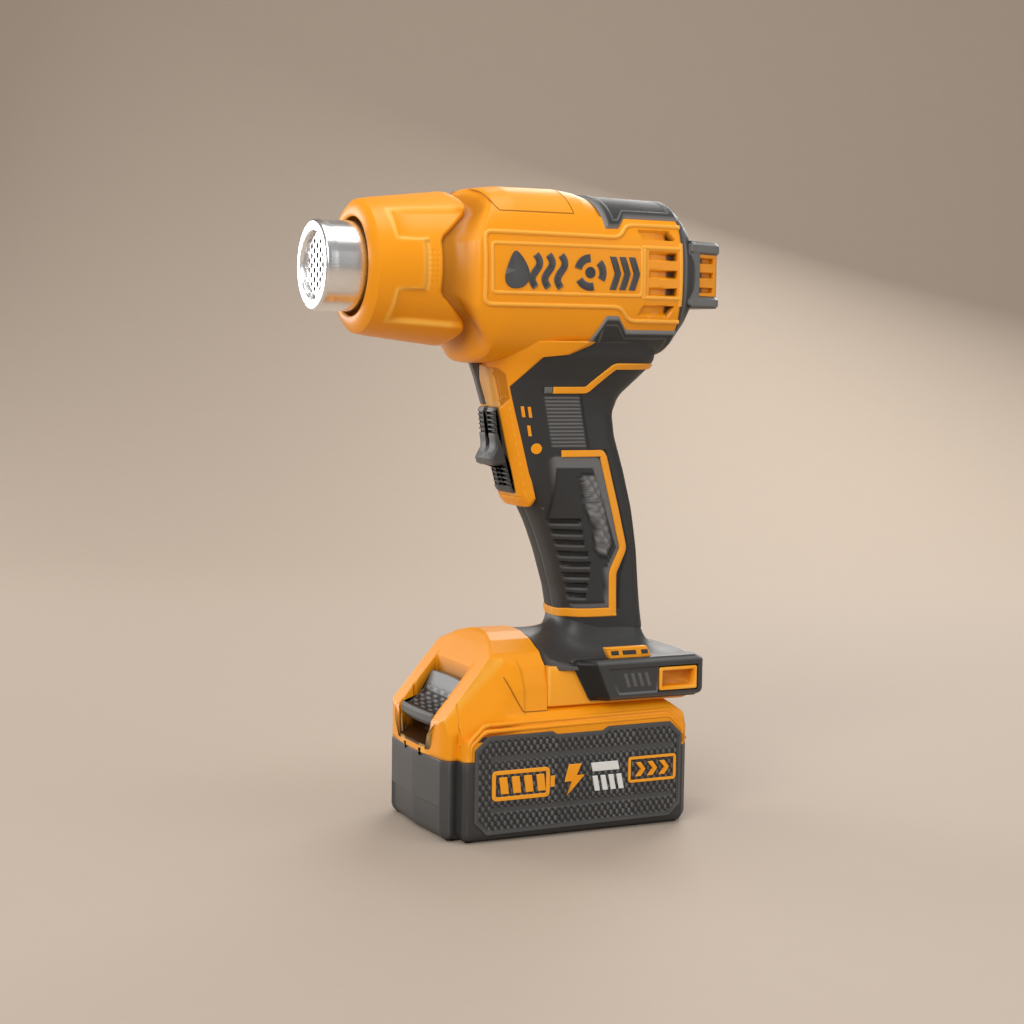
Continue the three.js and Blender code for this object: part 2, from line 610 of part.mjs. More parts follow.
// ---- battery pack -------------------------------------------------------------------------------------------
/** The pack in top view, drawn in by inset. */
function packTop(inset) {
  const w = PACK.half - inset;
  const right = [[PACK.back + inset, w - 3.5], [-54, w], [49.8, w], [51.5, w - 2], [51.5, 31 - inset],
    [PACK.front - 2.5 - inset, 31 - inset], [PACK.front - inset, 27], [59.6 - inset, 0]];
  const left = right.slice(0, -1).reverse().map(([x, y]) => [x, -y]);
  return outline([...right, ...left]);
}

/** The graphite tray with the pack's flat base. */
function batteryLowerCase() {
  const outer = column(packTop(0), 0, PACK.split - GAP / 2).intersect(
    plate(outline([[PACK.back, 5], [-52, 0], [56.5, 0], [60, 3], [60, 40], [PACK.back, 40]]), -60, 60),
  );
  const inner = column(packTop(WALL), WALL, 60);
  return outer.subtract(inner).subtract(panelPocket(1)).subtract(panelPocket(-1));
}

const PANEL_SIDE = [
  [46, 9.2], [40.8, 4], [-47, 4.6], [-52.2, 9.2], [-52.2, 40], [-47, 45], [-16.6, 45], [-14.2, 43.4],
  [8.5, 43.4], [10.5, 44.8], [40, 44.6], [46, 39.4],
];
const PANEL = { inner: 36.6, outer: 38 };

/** Where a side panel sits in the two cases. */
function panelPocket(side) {
  const made = plate(outline(spread(PANEL_SIDE, GAP)), PANEL.inner - GAP, 60);
  return side > 0 ? made : mirrored(made);
}

/** The textured panel let into each side of the pack. */
function batteryPanel(side) {
  const made = plate(outline(PANEL_SIDE), PANEL.inner, PANEL.outer)
    .subtract(box([-48, 37.6, 34.4], [39, 60, 36.8]))
    .subtract(box([-48, 37.6, 12.4], [39, 60, 14.8]));
  return side > 0 ? made : mirrored(made);
}

/** The rails that hold the pack to the foot, one on each side. */
function packRail(side) {
  const section = outline([[22, 54], [26.4, 54], [26.4, 61], [30, 61], [30, 66], [22, 66]]);
  const made = bar(section, -50, 10);
  return side > 0 ? made : mirrored(made);
}

/** The button's way through the front slope. */
function buttonShaft(grow) {
  return box([37 - grow, -17.5 - grow, 40 - grow], [70, 17.5 + grow, 66.5 + grow]);
}

/** The orange top case: the deck and rails, the sloping front and the dome before the foot. */
function batteryUpperCase() {
  const profile = (inset) => outline([
    [PACK.back + inset, PACK.split + GAP / 2 - (inset ? 2 : 0)], [PACK.back + inset, 41], [-54.3 + inset, 49.3],
    [-47 + inset, PACK.deck - inset], [11.6 + inset, PACK.deck - inset], [11.6 + inset, 70],
    [17 + inset, 79], [24 + inset, 84], [28, PACK.dome - inset], [31 - inset / 2, 82.5 - inset], [58.4 - inset, 50.5],
    [59.6 - inset, 46], [59.6 - inset, PACK.split + GAP / 2 - (inset ? 2 : 0)],
  ]);
  const section = (inset) => {
    const w = PACK.half - inset;
    const arch = [[w, 30], [w, 47 - inset], [w - 1, 50], [w - 3, 52.5], [w - 3.4, 67], [w - 5.5, 72.5],
      [w - 11, 78 - inset], [17, 82.6 - inset], [8, 84.8 - inset], [0, PACK.dome - inset]];
    return outline([...arch, ...arch.slice(0, -1).reverse().map(([y, z]) => [-y, z])]);
  };
  const envelope = (inset) =>
    column(packTop(inset), 30, 90).intersect(plate(profile(inset), -60, 60)).intersect(bar(section(inset), -70, 70));
  return envelope(0)
    .subtract(envelope(WALL))
    .subtract(panelPocket(1))
    .subtract(panelPocket(-1))
    .subtract(buttonShaft(0.4).intersect(box([30, -30, 39.5], [70, 30, 68])))
    .subtract(box([11, -6, 52.6], [15, 6, 60.6]))
    .add(packRail(1))
    .add(packRail(-1))
    .subtract(box([-2, -8, 52], [12, 8, 56]))
    .subtract(footEnvelope(-GAP));
}

/** The release button: a ribbed scoop in the slope, with the latch arm that runs back to the foot. */
function releaseButton() {
  const side = outline([
    [58.8, 52], [58.8, 47], [55, 46], [46, 55], [41, 64], [43.5, 65.8], [51, 55.5], [56.5, 51.5],
  ]);
  const scoop = plate(side, -17, 17);
  const arm = union(
    box([0, -5.4, 57.2], [44, 5.4, 60]),
    box([39, -5.4, 57.2], [47, 5.4, 61]),
    box([0, -5.4, 57.2], [5.6, 5.4, 66]),
  );
  return union(scoop, arm);
}

/** The compression spring under the latch arm. */
function latchSpring() {
  const spring = { x: 30, low: 48.4, high: 56.8, radius: 3.4, wire: 0.5, turns: 4 };
  class Winding extends THREE.Curve {
    getPoint(t, target = new THREE.Vector3()) {
      const turn = 2 * Math.PI * spring.turns * t;
      return target.set(
        spring.x + spring.radius * Math.cos(turn),
        spring.radius * Math.sin(turn),
        spring.low + spring.wire + (spring.high - spring.low - 2 * spring.wire) * t,
      );
    }
  }
  const section = new THREE.Shape().absarc(0, 0, spring.wire, 0, 2 * Math.PI);
  return solid(new THREE.ExtrudeGeometry(section, {
    steps: spring.turns * 10, curveSegments: 2, extrudePath: new Winding(), bevelEnabled: false,
  }));
}

/** The block on the deck whose slots take the tool's blades; its middle is low, so that it passes the catch. */
function batteryConnector() {
  return box([-42, -16, PACK.deck + GAP], [-22, 16, 70.2]).subtract(
    union(
      box([-43, -11, 63.8], [-32, -9, 71.2]),
      box([-43, 9, 63.8], [-32, 11, 71.2]),
      box([-43, -6.6, 65.8], [-21, 6.6, 73]),
    ),
  );
}

/** The plastic frame between the cells' ends. */
function cellHolder() {
  const { radius: r, pitch, rows, first } = CELL;
  let frame = union(
    box([first - 10.5, -29, 3], [first + 4 * pitch + 10.5, -26, 42.6]),
    box([first - 10.5, 26, 3], [first + 4 * pitch + 10.5, 29, 42.6]),
    box([first - 10.5, -28, 21.9], [first - 8.2, 28, 22.9]),
    box([first + 4 * pitch + 8.2, -28, 21.9], [first + 4 * pitch + 10.5, 28, 22.9]),
  );
  rows.forEach((z) => {
    for (let i = 0; i < 5; i += 1) frame = frame.subtract(pinY(first + i * pitch, z, r + GAP, -40, 40, 12));
  });
  return frame;
}

// ---- assembly -----------------------------------------------------------------------------------------------
const heatGun = new THREE.Group();

/** Adds a solid to the assembly as one named mesh. */
function add(name, made, color, roughness = 0.55, metalness = 0) {
  const mesh = new THREE.Mesh(geometryOf(made), new THREE.MeshStandardMaterial({ color, roughness, metalness }));
  mesh.name = name;
  heatGun.add(mesh);
}

add("nozzle_tube", nozzleTube(), STEEL, 0.18, 1);
add("nozzle_grille", nozzleGrille(), 0xb9b4ab, 0.4, 1);
add("front_shroud", frontShroud(), ORANGE, 0.42);
add("heater_sleeve", heaterSleeve(), 0xb7a37c, 0.7);
add("heater_core", heaterCore(), 0xe8e2d6, 0.8);
add("heating_coil", heatingCoil(), 0x8d8478, 0.45, 1);
add("thermal_cutout", thermalCutout(), 0x9b9da0, 0.35, 1);
add("fan_duct", fanDuct(), 0x3b3b3d, 0.6);
add("motor_can", motorCan(), 0xa9abae, 0.35, 1);
add("motor_shaft", pinX(MOTOR.front - 11.4, FAN.front - 0.5, MOTOR.shaft, 12), STEEL, 0.25, 1);
add("fan_impeller", fanImpeller(), 0x26282a, 0.5);
add("left_housing", housingHalf(1), ORANGE, 0.42);
add("right_housing", housingHalf(-1), ORANGE, 0.42);
add("left_grip", gripHalf(1), RUBBER_BLACK, 0.8);
add("right_grip", gripHalf(-1), RUBBER_BLACK, 0.8);
add("rear_top_guard", guard(TOP_GUARD_SIDE, true), RUBBER_BLACK, 0.75);
add("left_bottom_guard", half(guard(BOTTOM_GUARD_SIDE, false), 1), RUBBER_BLACK, 0.75);
add("right_bottom_guard", half(guard(BOTTOM_GUARD_SIDE, false), -1), RUBBER_BLACK, 0.75);
add("rear_cap", rearCap(), GRAPHITE, 0.6);
add("rear_grille", rearGrille(), ORANGE, 0.42);
add("switch_slider", switchSlider(), GRAPHITE, 0.6);
add("switch_module", switchModule(), 0x1f2022, 0.5);
add("switch_guide", switchGuide(), 0x17181b, 0.3);
add("control_board", controlBoard(), 0x1f6b3a, 0.5);
add("terminal_block", terminalBlock(), 0x232325, 0.6);
[["left", 1], ["right", -1]].forEach(([word, side]) => {
  add(`${word}_terminal_blade`, terminalBlade(side), 0xc7a34a, 0.3, 1);
  add(`${word}_foot_bumper`, footBumper(side), GRAPHITE, 0.65);
  add(`${word}_socket_insert`, socketInsert(side), ORANGE, 0.42);
  add(`${word}_window_insert`, windowInsert(side), ORANGE, 0.42);
  add(`${word}_battery_panel`, batteryPanel(side), GRAPHITE, 0.55);
});
BOSSES.forEach(([x, z], i) => {
  const { head, headLength, shank, length, face } = SCREW;
  const made = union(
    pinY(x, z, head, face, face + headLength - GAP, 10),
    pinY(x, z, shank, face + 0.5, face + length, 8),
  );
  add(`housing_screw_${i + 1}`, made, 0x55585c, 0.35, 1);
});
add("battery_lower_case", batteryLowerCase(), GRAPHITE, 0.6);
add("battery_upper_case", batteryUpperCase(), ORANGE, 0.42);
add("release_button", releaseButton(), GRAPHITE, 0.6);
add("latch_spring", latchSpring(), STEEL, 0.3, 1);
add("cell_holder", cellHolder(), 0x2a2b2d, 0.6);
CELL.rows.forEach((z, row) => {
  for (let i = 0; i < 5; i += 1) {
    const cell = pinY(CELL.first + i * CELL.pitch, z, CELL.radius, -CELL.length / 2, CELL.length / 2, 12);
    add(`cell_${row * 5 + i + 1}`, cell, 0x2f7fb8, 0.5);
  }
});
add("battery_board", box([-52, -20, 44.5], [36, 20, 46.1]), 0x1f6b3a, 0.5);
add("battery_connector", batteryConnector(), 0x232325, 0.6);

export default heatGun;
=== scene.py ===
"""Cordless heat gun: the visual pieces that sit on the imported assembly, laid out as an add-on."""

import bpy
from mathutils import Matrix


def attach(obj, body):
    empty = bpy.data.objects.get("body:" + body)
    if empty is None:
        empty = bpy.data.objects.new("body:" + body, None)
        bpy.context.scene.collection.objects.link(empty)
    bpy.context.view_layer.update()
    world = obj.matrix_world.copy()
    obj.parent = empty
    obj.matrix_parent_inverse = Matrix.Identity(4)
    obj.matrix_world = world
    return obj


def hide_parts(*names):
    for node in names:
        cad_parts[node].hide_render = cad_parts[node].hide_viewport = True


bl_info = {
    "name": "Cordless Heat Gun",
    "version": (1, 0, 0),
    "blender": (4, 5, 0),
    "location": "View3D > Sidebar > Heat Gun",
    "description": "Builds the shells, grip, guards, nozzle and battery pack of a cordless heat gun",
    "category": "Add Mesh",
}

import bpy
import numpy as np
from mathutils import Matrix

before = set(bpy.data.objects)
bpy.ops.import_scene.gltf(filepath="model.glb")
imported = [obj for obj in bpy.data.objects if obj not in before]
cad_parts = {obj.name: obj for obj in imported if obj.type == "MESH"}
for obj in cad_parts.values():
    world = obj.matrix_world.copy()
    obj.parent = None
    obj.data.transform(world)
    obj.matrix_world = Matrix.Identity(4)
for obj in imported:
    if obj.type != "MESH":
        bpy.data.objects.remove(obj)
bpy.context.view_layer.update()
MM = 0.001
AXIS_Z = 241.0                 # height of the barrel's centre line, in millimetres
BLOCK_Z = 239.0                # height of the middle of the housing block
BLOCK_HIGH = 38.0
BLOCK_POWER = 2.8
PARTING_Z = 34.8               # height where the pack's two cases meet
PANEL_FACE = 37.75             # y of the side panel's face


# ---------------------------------------------------------------- mesh tools


def eased(low, high, value):
    """A step from 0 at low to 1 at high along 3t^2 - 2t^3."""
    t = np.clip((value - low) / (high - low), 0.0, 1.0)
    return t * t * (3.0 - 2.0 * t)


def bell(distance, width):
    """A smooth hump exp(-(distance / width)^2), 1 where distance is 0."""
    return np.exp(-(distance / width) ** 2)


def squared(value, power):
    """sign(v) |v|^power, which squares off a round section when the power is below 1."""
    return np.sign(value) * np.abs(value) ** power


def along(value, *knots):
    """A broken line through (place, height) knots, read at value."""
    places, heights = zip(*knots)
    return np.interp(value, places, heights)


def line_distance(x, z, path, closed=False):
    """Distance from every (x, z) to the nearest point of a broken line."""
    path = np.asarray(path, float)
    ends = np.roll(path, -1, axis=0) if closed else path[1:]
    starts = path if closed else path[:-1]
    nearest = np.full(np.shape(x), 1e9)
    for (ax, az), (bx, bz) in zip(starts, ends):
        span = max((bx - ax) ** 2 + (bz - az) ** 2, 1e-9)
        t = np.clip(((x - ax) * (bx - ax) + (z - az) * (bz - az)) / span, 0.0, 1.0)
        nearest = np.minimum(nearest, np.hypot(x - ax - t * (bx - ax), z - az - t * (bz - az)))
    return nearest


def inside(x, z, outline):
    """Signed distance to a closed outline in the x-z plane: negative inside, positive outside."""
    outline = np.asarray(outline, float)
    crossings = np.zeros(np.shape(x), int)
    for (ax, az), (bx, bz) in zip(outline, np.roll(outline, -1, axis=0)):
        if az == bz:
            continue
        reach = ax + (z - az) * (bx - ax) / (bz - az)
        crossings += ((az > z) != (bz > z)) & (x < reach)
    distance = line_distance(x, z, outline, closed=True)
    return np.where(crossings % 2 == 1, -distance, distance)


def rounded(corners, radius, steps=4, closed=True):
    """A broken line whose corners are replaced by short quadratic curves of about that radius."""
    corners = np.asarray(corners, float)
    count = len(corners)
    points = []
    for k in range(count):
        here = corners[k]
        if not closed and k in (0, count - 1):
            points.append(here)
            continue
        before = corners[k - 1] - here
        after = corners[(k + 1) % count] - here
        cut = min(radius, 0.45 * np.linalg.norm(before), 0.45 * np.linalg.norm(after))
        start = here + before / np.linalg.norm(before) * cut
        end = here + after / np.linalg.norm(after) * cut
        t = np.linspace(0.0, 1.0, steps)[:, None]
        points.extend((1 - t) ** 2 * start + 2 * t * (1 - t) * here + t * t * end)
    return np.array(points)


def finer(path, step, closed=False):
    """The same path with points no further apart than step."""
    path = np.asarray(path, float)
    if closed:
        path = np.vstack([path, path[:1]])
    lengths = np.r_[0.0, np.cumsum(np.linalg.norm(np.diff(path, axis=0), axis=1))]
    places = np.unique(np.round(np.r_[lengths, np.arange(0.0, lengths[-1], step)], 4))
    fine = np.stack([np.interp(places, lengths, path[:, k]) for k in range(path.shape[1])], axis=1)
    return fine[:-1] if closed else fine


def face_normals(points, faces):
    """Cross product of the diagonals of every face, so its length is twice the area."""
    first = points[faces[:, 2]] - points[faces[:, 0]]
    second = points[faces[:, -1]] - points[faces[:, 1]]
    return np.cross(first, second)


def sheet(points, wrap=False, lids=(False, False), **tints):
    """A grid of points as a surface. wrap joins the last column to the first; lids close its ends with a
    fan."""
    rows, columns = points.shape[:2]
    index = np.arange(rows * columns).reshape(rows, columns)
    if wrap:
        index = np.concatenate([index, index[:, :1]], axis=1)
    quads = np.stack([index[:-1, :-1], index[1:, :-1], index[1:, 1:], index[:-1, 1:]], axis=-1).reshape(-1,
            4)
    flat = points.reshape(-1, 3)
    shades = {key: np.broadcast_to(value, (rows, columns)).reshape(-1).astype(float) for key,
              value in tints.items()}
    fans = []
    for wanted, ring, turn in ((lids[0], index[0], 1), (lids[1], index[-1], -1)):
        if wanted:
            middle = len(flat)
            flat = np.vstack([flat, flat[ring[:columns]].mean(axis=0)])
            shades = {key: np.r_[value, value[ring[0]]] for key, value in shades.items()}
            fan = np.stack([ring[:-1], ring[1:], np.full(len(ring) - 1, middle)], axis=1)
            fans.append(fan[:, ::turn])
    triangles = np.vstack(fans) if fans else np.zeros((0, 3), int)
    return {"points": flat, "quads": quads, "triangles": triangles, "tints": shades}


def faced(shell, centre):
    """The shell with its faces turned away from centre, judged by the sum over all faces."""
    quads, points = shell["quads"], shell["points"]
    outward = face_normals(points, quads)
    middles = points[quads].mean(axis=1) - np.asarray(centre, float)
    if (outward * middles).sum() < 0:
        shell["quads"] = quads[:, ::-1]
        shell["triangles"] = shell["triangles"][:, ::-1]
    return shell


def mirrored(shell):
    """The same shell on the other side of the y = 0 plane, faces turned back outwards."""
    return {
        "points": shell["points"] * np.array([1.0, -1.0, 1.0]),
        "quads": shell["quads"][:, ::-1],
        "triangles": shell["triangles"][:, ::-1],
        "tints": shell["tints"],
    }


SHARP_ANGLE = 35.0             # edges that turn by more than this many degrees are drawn sharp


def piece(name, shells, look, body="tool", wall=0.0, stands_for=()):
    """One object with that finish, from shells in millimetres. wall thickens an open surface inwards."""
    points, faces, start = [], [], 0
    tints = sorted({key for shell in shells for key in shell["tints"]})
    shades = {key: [] for key in tints}
    for shell in shells:
        points.append(shell["points"])
        faces.extend((shell["quads"] + start).tolist())
        faces.extend((shell["triangles"] + start).tolist())
        for key in tints:
            shades[key].append(shell["tints"].get(key, np.zeros(len(shell["points"]))))
        start += len(shell["points"])
    mesh = bpy.data.meshes.new(name)
    mesh.from_pydata(np.vstack(points) * MM, [], faces)
    for key in tints:
        layer = mesh.attributes.new(key, "FLOAT", "POINT")
        layer.data.foreach_set("value", np.concatenate(shades[key]).astype(np.float32))
    mesh.polygons.foreach_set("use_smooth", np.ones(len(mesh.polygons), bool))
    mesh.set_sharp_from_angle(angle=np.radians(SHARP_ANGLE))
    mesh.materials.append(finish(look))
    mesh.update()
    thing = bpy.data.objects.new(name, mesh)
    bpy.context.scene.collection.objects.link(thing)
    if wall:
        shell_wall = thing.modifiers.new("Wall", "SOLIDIFY")
        shell_wall.thickness = wall * MM
        shell_wall.offset = -1.0
        shell_wall.use_even_offset = False
    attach(thing, body)
    if stands_for:
        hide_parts(*stands_for)
    return thing


def ribbon(path, normals, profile, closed=False, **tints):
    """A profile of (across, out) points carried along a path of points on a surface with those normals."""
    path = np.asarray(path, float)
    normals = normals / np.linalg.norm(normals, axis=1, keepdims=True)
    if closed:
        heading = np.roll(path, -1, axis=0) - np.roll(path, 1, axis=0)
    else:
        heading = np.gradient(path, axis=0)
    heading /= np.maximum(np.linalg.norm(heading, axis=1, keepdims=True), 1e-9)
    across = np.cross(heading, normals)
    across /= np.maximum(np.linalg.norm(across, axis=1, keepdims=True), 1e-9)
    profile = np.asarray(profile, float)
    points = path[:, None] + across[:, None] * profile[None, :, :1] + normals[:, None] * profile[None, :, 1:]
    if closed:
        points = np.concatenate([points, points[:1]], axis=0)
        return volume_out(welded(sheet(points, wrap=True, **tints)))
    return volume_out(sheet(points, wrap=True, lids=(True, True), **tints))


def welded(shell):
    """The last ring of a closed loop is the first ring again, so its numbers point back to the first."""
    points = shell["points"]
    keep = np.where(np.linalg.norm(points - points[0], axis=1) < 1e-9)[0][-1]
    shell["quads"] = np.where(shell["quads"] >= keep, shell["quads"] - keep, shell["quads"])
    shell["points"] = points[:keep]
    shell["tints"] = {key: value[:keep] for key, value in shell["tints"].items()}
    return shell


def volume_out(shell):
    """Turns a closed shell's faces outwards, by the sign of the volume that they enclose."""
    points = shell["points"]
    quads = shell["quads"]
    parts = [quads[:, [0, 1, 2]], quads[:, [0, 2, 3]], shell["triangles"]]
    corners = points[np.vstack(parts)]
    volume = np.einsum("ij,ij->i", corners[:, 0], np.cross(corners[:, 1], corners[:, 2])).sum()
    if volume < 0:
        shell["quads"] = quads[:, ::-1]
        shell["triangles"] = shell["triangles"][:, ::-1]
    return shell


def inset_outline(outline, by):
    """Every side of a closed outline moved inwards by that much, corners kept as mitres."""
    outline = np.asarray(outline, float)
    sides = np.roll(outline, -1, axis=0) - outline
    sides /= np.linalg.norm(sides, axis=1, keepdims=True)
    area = np.sum(outline[:, 0] * np.roll(outline[:, 1], -1) - np.roll(outline[:, 0], -1) * outline[:, 1])
    inward = np.stack([-sides[:, 1], sides[:, 0]], axis=1) * np.sign(area)
    before = np.roll(inward, 1, axis=0)
    mitre = before + inward
    mitre /= np.maximum(np.linalg.norm(mitre, axis=1, keepdims=True), 1e-9)
    stretch = np.clip((mitre * inward).sum(axis=1), 0.4, 1.0)
    return outline + mitre * (by / stretch)[:, None]


def slab(outline, levels, axis="y", **tints):
    """An outline carried along an axis through (place, inset) levels, closed at both ends.

    axis y takes (x, z) outlines, axis z takes (x, y) ones and axis x takes (y, z) ones."""
    rings = []
    for place, inset in levels:
        ring = inset_outline(outline, inset)
        column = np.full(len(ring), place)
        order = {"y": (ring[:, 0], column, ring[:, 1]), "z": (ring[:, 0], ring[:, 1], column),
                 "x": (column, ring[:, 0], ring[:, 1])}[axis]
        rings.append(np.stack(order, axis=1))
    return volume_out(sheet(np.array(rings), wrap=True, lids=(True, True), **tints))


def turned(profile, z=AXIS_Z, y=0.0, count=72, lids=(True, True), **tints):
    """A profile of (x, radius) points turned about a line along X at that height."""
    profile = np.asarray(profile, float)
    angle = np.linspace(0.0, 2 * np.pi, count, endpoint=False)
    x = np.repeat(profile[:, :1], count, axis=1)
    points = np.stack([x, y + profile[:, 1:] * np.cos(angle), z + profile[:, 1:] * np.sin(angle)], axis=-1)
    return volume_out(sheet(points, wrap=True, lids=lids, **tints))


ROUND_BEAD = [(-1.0, -0.6), (-0.92, 0.3), (-0.6, 0.75), (-0.2, 0.95), (0.2, 0.95), (0.6, 0.75), (0.92, 0.3),
              (1.0, -0.6)]
FLAT_STRIP = [(-1.0, -0.6), (-1.0, 0.55), (-0.78, 1.0), (0.78, 1.0), (1.0, 0.55), (1.0, -0.6)]


def scaled(profile, half_width, height):
    """A unit profile given its half width across and its height outwards."""
    return np.asarray(profile) * np.array([half_width, height])


# ---------------------------------------------------------------- finishes


def moulded(name, colour, deep, pale, rough=0.42, grain=900.0, bump=0.06, coat=0.0, mottle=0.12):
    """Moulded plastic or rubber: fine mould grain in the bump, faint cloudiness in the colour, a painted
    highlight on the sharpest edges, and the point layers "deep" and "pale". "deep" is painted shade in
    slots, grooves, creases and hollows. "pale" is painted highlight on ribs, chamfers and lit facets, and an
    even paler tone on a few parts."""
    material = bpy.data.materials.new(name)
    material.use_nodes = True
    tree = material.node_tree
    nodes, links = tree.nodes, tree.links
    nodes.clear()
    colour_frame = nodes.new("NodeFrame")
    colour_frame.label = "colour: base, cloudiness, painted shade and highlights"
    surface_frame = nodes.new("NodeFrame")
    surface_frame.label = "surface: mould grain and gloss"

    place = nodes.new("ShaderNodeTexCoord")
    place.label = "where on the part"
    clouds = nodes.new("ShaderNodeTexNoise")
    clouds.label = "cloudiness of the moulding"
    clouds.parent = colour_frame
    tint = nodes.new("ShaderNodeMix")
    tint.label = "base colour, mottled"
    tint.parent = colour_frame
    # Painted shade: the "deep" layer darkens slots, grooves, creases and hollows towards the shade colour.
    painted_shade_layer = nodes.new("ShaderNodeAttribute")
    painted_shade_layer.label = "painted shade in slots and grooves"
    painted_shade_layer.parent = colour_frame
    painted_shade_mix = nodes.new("ShaderNodeMix")
    painted_shade_mix.label = "painted shade mixed in"
    painted_shade_mix.parent = colour_frame
    # Painted highlight: the "pale" layer lightens ribs, chamfers and lit facets; on a few parts it is an
    # even paler tone.
    highlight_and_tone_layer = nodes.new("ShaderNodeAttribute")
    highlight_and_tone_layer.label = "painted highlights and paler tones"
    highlight_and_tone_layer.parent = colour_frame
    highlight_and_tone_mix = nodes.new("ShaderNodeMix")
    highlight_and_tone_mix.label = "highlights and tones mixed in"
    highlight_and_tone_mix.parent = colour_frame
    # Painted highlight: the sharpest edges, found by pointiness, are painted a little paler.
    shape = nodes.new("ShaderNodeNewGeometry")
    shape.label = "sharpness of edges"
    edge_ramp = nodes.new("ShaderNodeMapRange")
    edge_ramp.label = "only the sharpest edges"
    edge_ramp.parent = colour_frame
    edge_highlight_mix = nodes.new("ShaderNodeMix")
    edge_highlight_mix.label = "painted highlight on sharp edges"
    edge_highlight_mix.parent = colour_frame
    grain_noise = nodes.new("ShaderNodeTexNoise")
    grain_noise.label = "fine mould grain"
    grain_noise.parent = surface_frame
    relief = nodes.new("ShaderNodeBump")
    relief.label = "grain felt on the surface"
    relief.parent = surface_frame
    handling = nodes.new("ShaderNodeTexNoise")
    handling.label = "patches polished by handling"
    handling.parent = surface_frame
    gloss = nodes.new("ShaderNodeMapRange")
    gloss.label = "duller and glossier patches"
    gloss.parent = surface_frame
    shader = nodes.new("ShaderNodeBsdfPrincipled")
    shader.label = "moulded surface"
    out = nodes.new("ShaderNodeOutputMaterial")
    out.label = "finish"
    for k, node in enumerate((place, clouds, tint, painted_shade_layer, painted_shade_mix, highlight_and_tone_layer, highlight_and_tone_mix, shape,
                              edge_ramp,
                              edge_highlight_mix, grain_noise, relief, handling, gloss, shader, out)):
        node.location = (-1200 + 240 * (k % 8), 300 - 360 * (k // 8))

    clouds.inputs["Scale"].default_value = 38.0
    clouds.inputs["Detail"].default_value = 4.0
    tint.data_type = "RGBA"
    tint.inputs["A"].default_value = (*colour, 1.0)
    tint.inputs["B"].default_value = (*[c * (1.0 - mottle) for c in colour], 1.0)
    painted_shade_layer.attribute_name = "deep"
    painted_shade_mix.data_type = "RGBA"
    painted_shade_mix.inputs["B"].default_value = (*deep, 1.0)
    highlight_and_tone_layer.attribute_name = "pale"
    highlight_and_tone_mix.data_type = "RGBA"
    highlight_and_tone_mix.inputs["B"].default_value = (*pale, 1.0)
    edge_ramp.inputs["From Min"].default_value = 0.53
    edge_ramp.inputs["From Max"].default_value = 0.62
    edge_ramp.inputs["To Max"].default_value = 0.35
    edge_highlight_mix.data_type = "RGBA"
    edge_highlight_mix.inputs["B"].default_value = (*pale, 1.0)
    grain_noise.inputs["Scale"].default_value = grain
    grain_noise.inputs["Detail"].default_value = 3.0
    relief.inputs["Strength"].default_value = bump
    relief.inputs["Distance"].default_value = 0.0004
    handling.inputs["Scale"].default_value = 22.0
    handling.inputs["Detail"].default_value = 5.0
    gloss.inputs["To Min"].default_value = rough - 0.07
    gloss.inputs["To Max"].default_value = rough + 0.07
    shader.inputs["Coat Weight"].default_value = coat
    shader.inputs["Coat Roughness"].default_value = 0.25
    shader.inputs["Specular IOR Level"].default_value = 0.32

    links.new(place.outputs["Object"], clouds.inputs["Vector"])
    links.new(clouds.outputs["Fac"], tint.inputs["Factor"])
    links.new(tint.outputs["Result"], painted_shade_mix.inputs["A"])
    links.new(painted_shade_layer.outputs["Fac"], painted_shade_mix.inputs["Factor"])
    links.new(painted_shade_mix.outputs["Result"], highlight_and_tone_mix.inputs["A"])
    links.new(highlight_and_tone_layer.outputs["Fac"], highlight_and_tone_mix.inputs["Factor"])
    links.new(highlight_and_tone_mix.outputs["Result"], edge_highlight_mix.inputs["A"])
    links.new(shape.outputs["Pointiness"], edge_ramp.inputs["Value"])
    links.new(edge_ramp.outputs["Result"], edge_highlight_mix.inputs["Factor"])
    links.new(edge_highlight_mix.outputs["Result"], shader.inputs["Base Color"])
    links.new(place.outputs["Object"], grain_noise.inputs["Vector"])
    links.new(grain_noise.outputs["Fac"], relief.inputs["Height"])
    links.new(relief.outputs["Normal"], shader.inputs["Normal"])
    links.new(place.outputs["Object"], handling.inputs["Vector"])
    links.new(handling.outputs["Fac"], gloss.inputs["Value"])
    links.new(gloss.outputs["Result"], shader.inputs["Roughness"])
    links.new(shader.outputs["BSDF"], out.inputs["Surface"])
    return material


